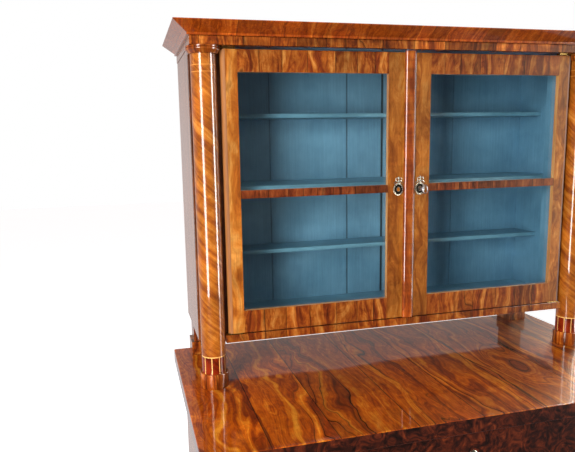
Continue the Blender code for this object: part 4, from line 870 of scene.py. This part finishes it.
# a capital is planed to clear the door's hanging edge, the case's side, and the stile behind the door; a base
# column is planed at the back and on its inner side; all these places are for the right-hand columns
DOOR_CLEAR_X, SIDE_FRONT_Y, STILE_X, STILE_Y = 0.4825, 0.0572, 0.4888, 0.0392
BASE_BACK_Y, BASE_INNER_X = -0.2423, 0.4835
from_x, from_y = AXIS_X["column_shaft"], AXIS_Y["column_shaft"]
capital_flats = [
    [(-1, 0, from_x - DOOR_CLEAR_X)],
    [(0, 1, SIDE_FRONT_Y - from_y)],
    [(-1, 0, from_x - STILE_X), (0, 1, STILE_Y - from_y)],
]
base_flats = [
    [(0, 1, BASE_BACK_Y - AXIS_Y["base_column"])],
    [(-1, 0, AXIS_X["base_column"] - BASE_INNER_X)],
]
capital_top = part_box("column_capital_right")[1].z
drum_low, drum_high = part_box("column_drum_right")
base_drum_top = base_low.z + DRUM_HEIGHT
for side in ("left", "right"):
    turned(f"column_capital_{side}", capital(capital_top, CAPITAL_RADIUS), [CAPITAL_VENEER], capital_flats)
    straight = [(SHAFT_RADIUS, z, 0) for z in np.linspace(shaft_high.z, shaft_low.z, 9)]
    turned(f"column_shaft_{side}", straight, [SHAFT_VENEER])
    turned(f"column_drum_{side}", drum(drum_high.z, drum_low.z, 0), [DRUM_VENEER])
    whole = capital(base_high.z, BASE_CAPITAL_RADIUS)
    whole += [(SHAFT_RADIUS, base_high.z - 17.25 * MM, 0), (SHAFT_RADIUS, base_drum_top, 1)]
    whole += drum(base_drum_top, base_low.z, 2)
    turned(f"base_column_{side}", whole, [CAPITAL_VENEER, BASE_SHAFT_VENEER, DRUM_VENEER], base_flats)
print("four columns")

# %% [markdown]
# ## The strip between the doors
# A flat strip with two rounded edges covers the gap between the doors. Its rounded edges draw two thin white
# lines from top to bottom. The section is a function of one number, and it is carried along the height.

# %% Strip
def strip(node, finish):
    """The section's slope turns from 0 to 90 degrees through three arcs of radius 2, 14 and 1 mm. It goes
    straight up, with closed ends."""
    low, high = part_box(node)
    radii = np.repeat([2.0, 14.0, 1.0], 6) * MM
    slope = [np.linspace(0, 24, 7), np.linspace(24, 50, 7)[1:], np.linspace(50, 90, 7)[1:]]
    slope = np.radians(np.concatenate(slope))
    out = np.concatenate([[0], np.cumsum(radii * np.diff(np.sin(slope)))])
    back = np.concatenate([[0], np.cumsum(radii * -np.diff(np.cos(slope)))])
    right = np.stack([high.x - out[-1] + out, low.y + back], -1)
    left = np.stack([low.x + high.x - right[::-1, 0], right[::-1, 1]], -1)
    section = np.concatenate([[(low.x, high.y)], left, right, [(high.x, high.y)]])
    n = len(section)
    z = np.repeat([low.z, high.z], n)
    points = np.concatenate([np.tile(section, (2, 1)), z[:, None]], 1)
    i = np.arange(n)
    after = (i + 1) % n
    sides = np.stack([i, after, after + n, i + n], -1)
    faces = [*sides.tolist(), i[::-1].tolist(), (i + n).tolist()]
    piece = plain_piece(node + "_strip", points, faces, [finish], crease=40)
    weighted = piece.modifiers.new("flat_faces", "WEIGHTED_NORMAL")
    weighted.weight, weighted.keep_sharp = 90, True
    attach(piece, BODY_OF[node])
    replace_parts(piece, node)
    return piece


STRIP_VENEER = veneer(
    "strip", joints=(0.5,), rings=34.0, swirl=2.5, swirl_size=0.10, knots=0.6,
    veins=0.4, tone=(1.0, 1.1), ripple=0.0, gloss=0.03,
    colours=("#120703", "#4A1A07", "#74300C", "#8E4210", "#A86024"),
)
strip("astragal", STRIP_VENEER)
print("one strip")

# %% [markdown]
# ## Keyhole plates
# Each door has a cast brass plate: an oval rope ring round a recess, with a tied ribbon above it. The ring is
# one surface over two numbers: how far out from the middle, and the angle. Its height is a half circle across
# the ring, with small beads along it. The ribbon is made of round cords bent along loops.

# %% Castings
CORD_TURN = np.linspace(0, 2 * np.pi, 12, endpoint=False)


def grid(x, y, z):
    """Points from arrays of x, y and z that spread over the same rows and columns."""
    return np.stack(np.broadcast_arrays(x, y, z), -1)


def surface(name, points, finish, body, ends=True, crease=45):
    """A grid of points, rows x columns x 3, as one mesh: columns close round, and each end gets a fan."""
    rows, columns = points.shape[:2]
    k, i = np.meshgrid(np.arange(rows - 1), np.arange(columns), indexing="ij")
    after = (i + 1) % columns
    quads = [k * columns + i, k * columns + after, (k + 1) * columns + after, (k + 1) * columns + i]
    quads = np.stack(quads, -1)
    faces, vertices = quads.reshape(-1, 4).tolist(), points.reshape(-1, 3)
    if ends:
        middle = np.stack([points[0].mean(0), points[-1].mean(0)])
        vertices = np.concatenate([vertices, middle])
        ring, last = np.arange(columns), (rows - 1) * columns
        turned_ring = (ring + 1) % columns
        first_middle, last_middle = np.full(columns, rows * columns), np.full(columns, rows * columns + 1)
        faces += np.stack([first_middle, turned_ring, ring], -1).tolist()
        faces += np.stack([last_middle, last + ring, last + turned_ring], -1).tolist()
    piece = plain_piece(name, vertices, faces, [finish], crease=crease)
    form = bmesh.new()
    form.from_mesh(piece.data)
    bmesh.ops.remove_doubles(form, verts=form.verts, dist=1e-6)
    bmesh.ops.recalc_face_normals(form, faces=form.faces)
    form.to_mesh(piece.data)
    form.free()
    piece.data.set_sharp_from_angle(angle=math.radians(crease))
    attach(piece, body)
    return piece


def cord(name, path, radius, body):
    """A round cord of cast brass: at each point of the path, a circle square to the path's direction."""
    along = np.gradient(path, axis=0)
    along /= np.linalg.norm(along, axis=1)[:, None]
    side = np.cross(along, np.array([0.0, 1.0, 0.0]))
    length = np.linalg.norm(side, axis=1)[:, None]
    side = np.where(length > 1e-6, side / np.maximum(length, 1e-6), np.array([1.0, 0.0, 0.0]))
    other = np.cross(along, side)
    turn = CORD_TURN[None, :, None]
    thick = np.broadcast_to(np.asarray(radius, float), len(path))[:, None, None]
    circle = np.cos(turn) * side[:, None] + np.sin(turn) * other[:, None]
    return surface(name, path[:, None] + thick * circle, CAST_BRASS, body)


def join(name, pieces):
    """Several meshes as one object."""
    form = bmesh.new()
    for piece in pieces:
        form.from_mesh(piece.data)
    mesh = pieces[0].data
    form.to_mesh(mesh)
    form.free()
    mesh.set_sharp_from_angle(angle=math.radians(45))
    for piece in pieces[1:]:
        bpy.data.objects.remove(piece)
    pieces[0].name = name
    return pieces[0]


# %% Keyhole plates
PLATE_A, PLATE_B = 14.3 * MM, 16.8 * MM


def keyhole_plate(node):
    """Oval ring: height = root(1 - ((share - middle) / half width) ^ 2), with 30 beads along it."""
    low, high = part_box(node)
    x, z, back = (low.x + high.x) / 2, low.z + PLATE_B, high.y
    share = np.concatenate([np.linspace(0.30, 0.70, 6), np.linspace(0.72, 1.0, 15), [1.0]])
    angle = np.linspace(0, 2 * np.pi, 180, endpoint=False)
    across = np.clip((share - 0.86) / 0.14, -1, 1)
    rise = 0.7 * MM + 2.0 * MM * np.sqrt(1 - across**2)
    rise[:6] = 0.7 * MM + 0.25 * MM * np.array([1, 1, 0.5, 0, 0, 0])
    rise[-1] = 0.0
    beads = 1 - 0.50 * (0.5 - 0.5 * np.cos(30 * angle))[None, :] * np.sqrt(1 - across**2)[:, None]
    heights = rise[:, None] * beads
    oval = share[:, None] * np.stack([PLATE_A * np.cos(angle), PLATE_B * np.sin(angle)])[:, None]
    points = grid(x + oval[0], back - heights, z + oval[1])
    inner_back = points[0].copy()
    inner_back[:, 1] = back
    points = np.concatenate([inner_back[None], points])
    body, slot = BODY_OF[node], SLOT_OF[node]
    ring = surface(node + "_ring", np.concatenate([points, points[:1]]), CAST_BRASS, body, ends=False)

    # the recess inside the rope ring is near black: a low flat ring of dark brass
    share, rise = np.array([0.38, 0.40, 0.70, 0.72, 0.38]), np.array([0.6, 1.1, 1.1, 0.6, 0.6]) * MM
    oval = share[:, None] * np.stack([PLATE_A * np.cos(angle), PLATE_B * np.sin(angle)])[:, None]
    recess = grid(x + oval[0], back - rise[:, None], z + oval[1])
    surface(node + "_recess", recess, DARK_RECESS_AND_KEYHOLE_SHADE, body, ends=False)

    t = np.linspace(0, 1, 33)
    pieces, knot = [ring], (x, z + PLATE_B + 1.5 * MM)
    for mirror in (-1, 1):
        # a loop is an oval that leans outwards from the knot, and a tail is a short wave
        lean, turn = math.radians(52), 2 * np.pi * t + np.pi
        u, v = 5.9 * MM * (1 + np.cos(turn)), 3.9 * MM * np.sin(turn)
        loop_x = knot[0] + mirror * (u * math.cos(lean) - v * math.sin(lean))
        loop_z = knot[1] + u * math.sin(lean) + v * math.cos(lean) + 1.0 * MM
        loop = grid(loop_x, back - 1.5 * MM - 1.0 * MM * np.sin(np.pi * t), loop_z)
        thick = (1.05 + 0.25 * np.sin(2 * np.pi * 7 * t)) * MM
        pieces.append(cord(f"{node}_loop_{mirror}", loop, thick, body))
        tail_x = knot[0] + mirror * (12.4 * MM * t)
        tail_z = knot[1] - 0.4 * MM + 3.2 * MM * np.sin(1.25 * np.pi * t)
        tail = grid(tail_x, back - 1.2 * MM, tail_z)
        thick = (0.8 + 0.7 * t) * MM
        pieces.append(cord(f"{node}_tail_{mirror}", tail, thick, body))
    # the knot and the crest are beads: name, how far out, how far up, half height and radius, in mm
    up = np.linspace(-1, 1, 13)
    for bead, out, above, half, radius in (("knot", 1.8, 0.0, 2.6, 2.4), ("crest", 1.5, 11.5, 3.6, 1.9)):
        path = grid(knot[0], back - out * MM, knot[1] + above * MM + half * MM * up)
        thick = radius * MM * np.sqrt(np.clip(1 - up**2, 0.002, 1))
        pieces.append(cord(f"{node}_{bead}", path, thick, body))
    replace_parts(join(node + "_casting", pieces), node)


for node in ("keyhole_plate_left", "keyhole_plate_right"):
    keyhole_plate(node)
print("two castings")

# %% [markdown]
# ## Keyhole shields on the drawers
# Each long drawer front has a plain brass shield in its middle: a low oval dome with a keyhole drawn as
# painted shade.

# %% Keyhole shields
def shield(node):
    """Dome height = 0.4 mm + 1.4 mm x root(1 - share ^ 2). The keyhole is painted shade: a dark sheet, a
    circle with a skirt below.
    """
    low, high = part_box(node)
    x, z, back = (low.x + high.x) / 2, low.z + 0.62 * (high.z - low.z), low.y
    angle = np.linspace(0, 2 * np.pi, 72, endpoint=False)

    def oval(name, reach_x, reach_z, share, rise, finish):
        share, rise = share[:, None], rise[:, None]
        right, up = share * (reach_x * np.cos(angle)), share * (reach_z * np.sin(angle))
        points = grid(x + right, back - rise, z + up)
        return surface(name, points, finish, BODY_OF[node])

    share = np.array([1.0, 1.0, 0.98, 0.93, 0.85, 0.72, 0.55, 0.35, 0.15, 0.02])
    rise = (0.4 + 1.4 * np.sqrt(1 - share**2)) * MM
    rise[0] = 0.0
    oval(node + "_shield", 12.5 * MM, 17.5 * MM, share, rise, CAST_BRASS)
    skirt = (1.8 + 3.7 * np.exp(-(((angle - 1.5 * np.pi) / 0.25) ** 2))) * MM
    # the keyhole is painted shade: a near-black sheet laid just above the dome
    oval(node + "_keyhole", skirt, skirt, np.array([1.0, 1.0, 0.05]), np.array([1.0, 1.9, 1.9]) * MM, DARK_RECESS_AND_KEYHOLE_SHADE)


for node in ("fall_front", "middle_drawer_front", "lower_drawer_front"):
    shield(node)
print("three shields")

# %% [markdown]
# ## Key
# The key stays in the right door's lock. Its bow is an oval ring of drawn wire that stands square to the
# door, and its shank has a turned collar.

# %% Key
def key():
    """A bow round an oval, and a shank turned round the y axis, as one object."""
    low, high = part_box("key")
    x, z = (low.x + high.x) / 2, (low.z + high.z) / 2
    body, slot, half = BODY_OF["key"], SLOT_OF["key"], (high.z - low.z) / 2
    turn = np.linspace(0, 2 * np.pi, 65)
    wire = 1.45 * MM
    centre = low.y + 14.0 * MM
    # the bow: points round an oval, thicker where it meets the shank
    path_y = centre + (14.0 * MM - wire) * np.cos(turn)
    path_z = z + (half - wire) * np.sin(turn)
    out = np.stack([np.cos(turn), np.sin(turn)], -1)
    thick = wire * (1 + 0.35 * np.cos(turn / 2) ** 16 + 0.35 * np.cos(turn / 2 + np.pi) ** 16)
    square, outward = thick[:, None] * np.sin(CORD_TURN), thick[:, None] * np.cos(CORD_TURN)
    bow = grid(x + square, path_y[:, None] + outward * out[:, :1], path_z[:, None] + outward * out[:, 1:])
    bow = surface("key_bow", bow, IRON, body, ends=False)
    # the shank is turned: radius by distance from the bow
    start, end = centre + 12.2 * MM, high.y
    s = np.array([0, 1.0, 2.0, 2.4, 3.4, 3.8, 5.2, 5.6, 6.6, 7.0, 8.0]) * MM
    r = np.array([1.6, 1.9, 1.9, 2.9, 3.3, 2.3, 2.2, 2.9, 2.9, 2.05, 2.0]) * MM
    s, r = np.append(s, end - start), np.append(r, 2.0 * MM)
    r = np.minimum(r, (high.x - low.x) / 2 * 1.35)
    r, s = r[:, None], s[:, None]
    shank = grid(x + r * np.cos(CORD_TURN), start + s, z + r * np.sin(CORD_TURN))
    shank = surface("key_shank", shank, IRON, body, crease=30)
    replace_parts(join("key_forged", [bow, shank]), "key")


key()
print("one key")

# %% [markdown]
# ## Pieces that keep their solids
# The boards and hardware that are mostly hidden keep the frame's solids and only take a finish.

# %% Finishes for the rest
KEPT = {
    PINE: ("base_back",),
    OAK: ("lower_drawer_box", "middle_drawer_box"),
    GALLERY: ("gallery_case", "small_drawer_left", "small_drawer_right"),
    GLASS: ("pane_left_lower", "pane_left_upper", "pane_right_lower", "pane_right_upper"),
    STAY_BRASS: ["stay_left", "stay_right"]
    + [f"pivot_{end}_{side}" for end in ("lower", "upper") for side in ("left", "right")],
    IRON: ("lock_bolt", "lock_case"),
}
for finish, nodes in KEPT.items():
    for node in nodes:
        NODES[node].data.materials.clear()
        NODES[node].data.materials.append(finish)
print(sum(len(nodes) for nodes in KEPT.values()), "solids keep their shape")
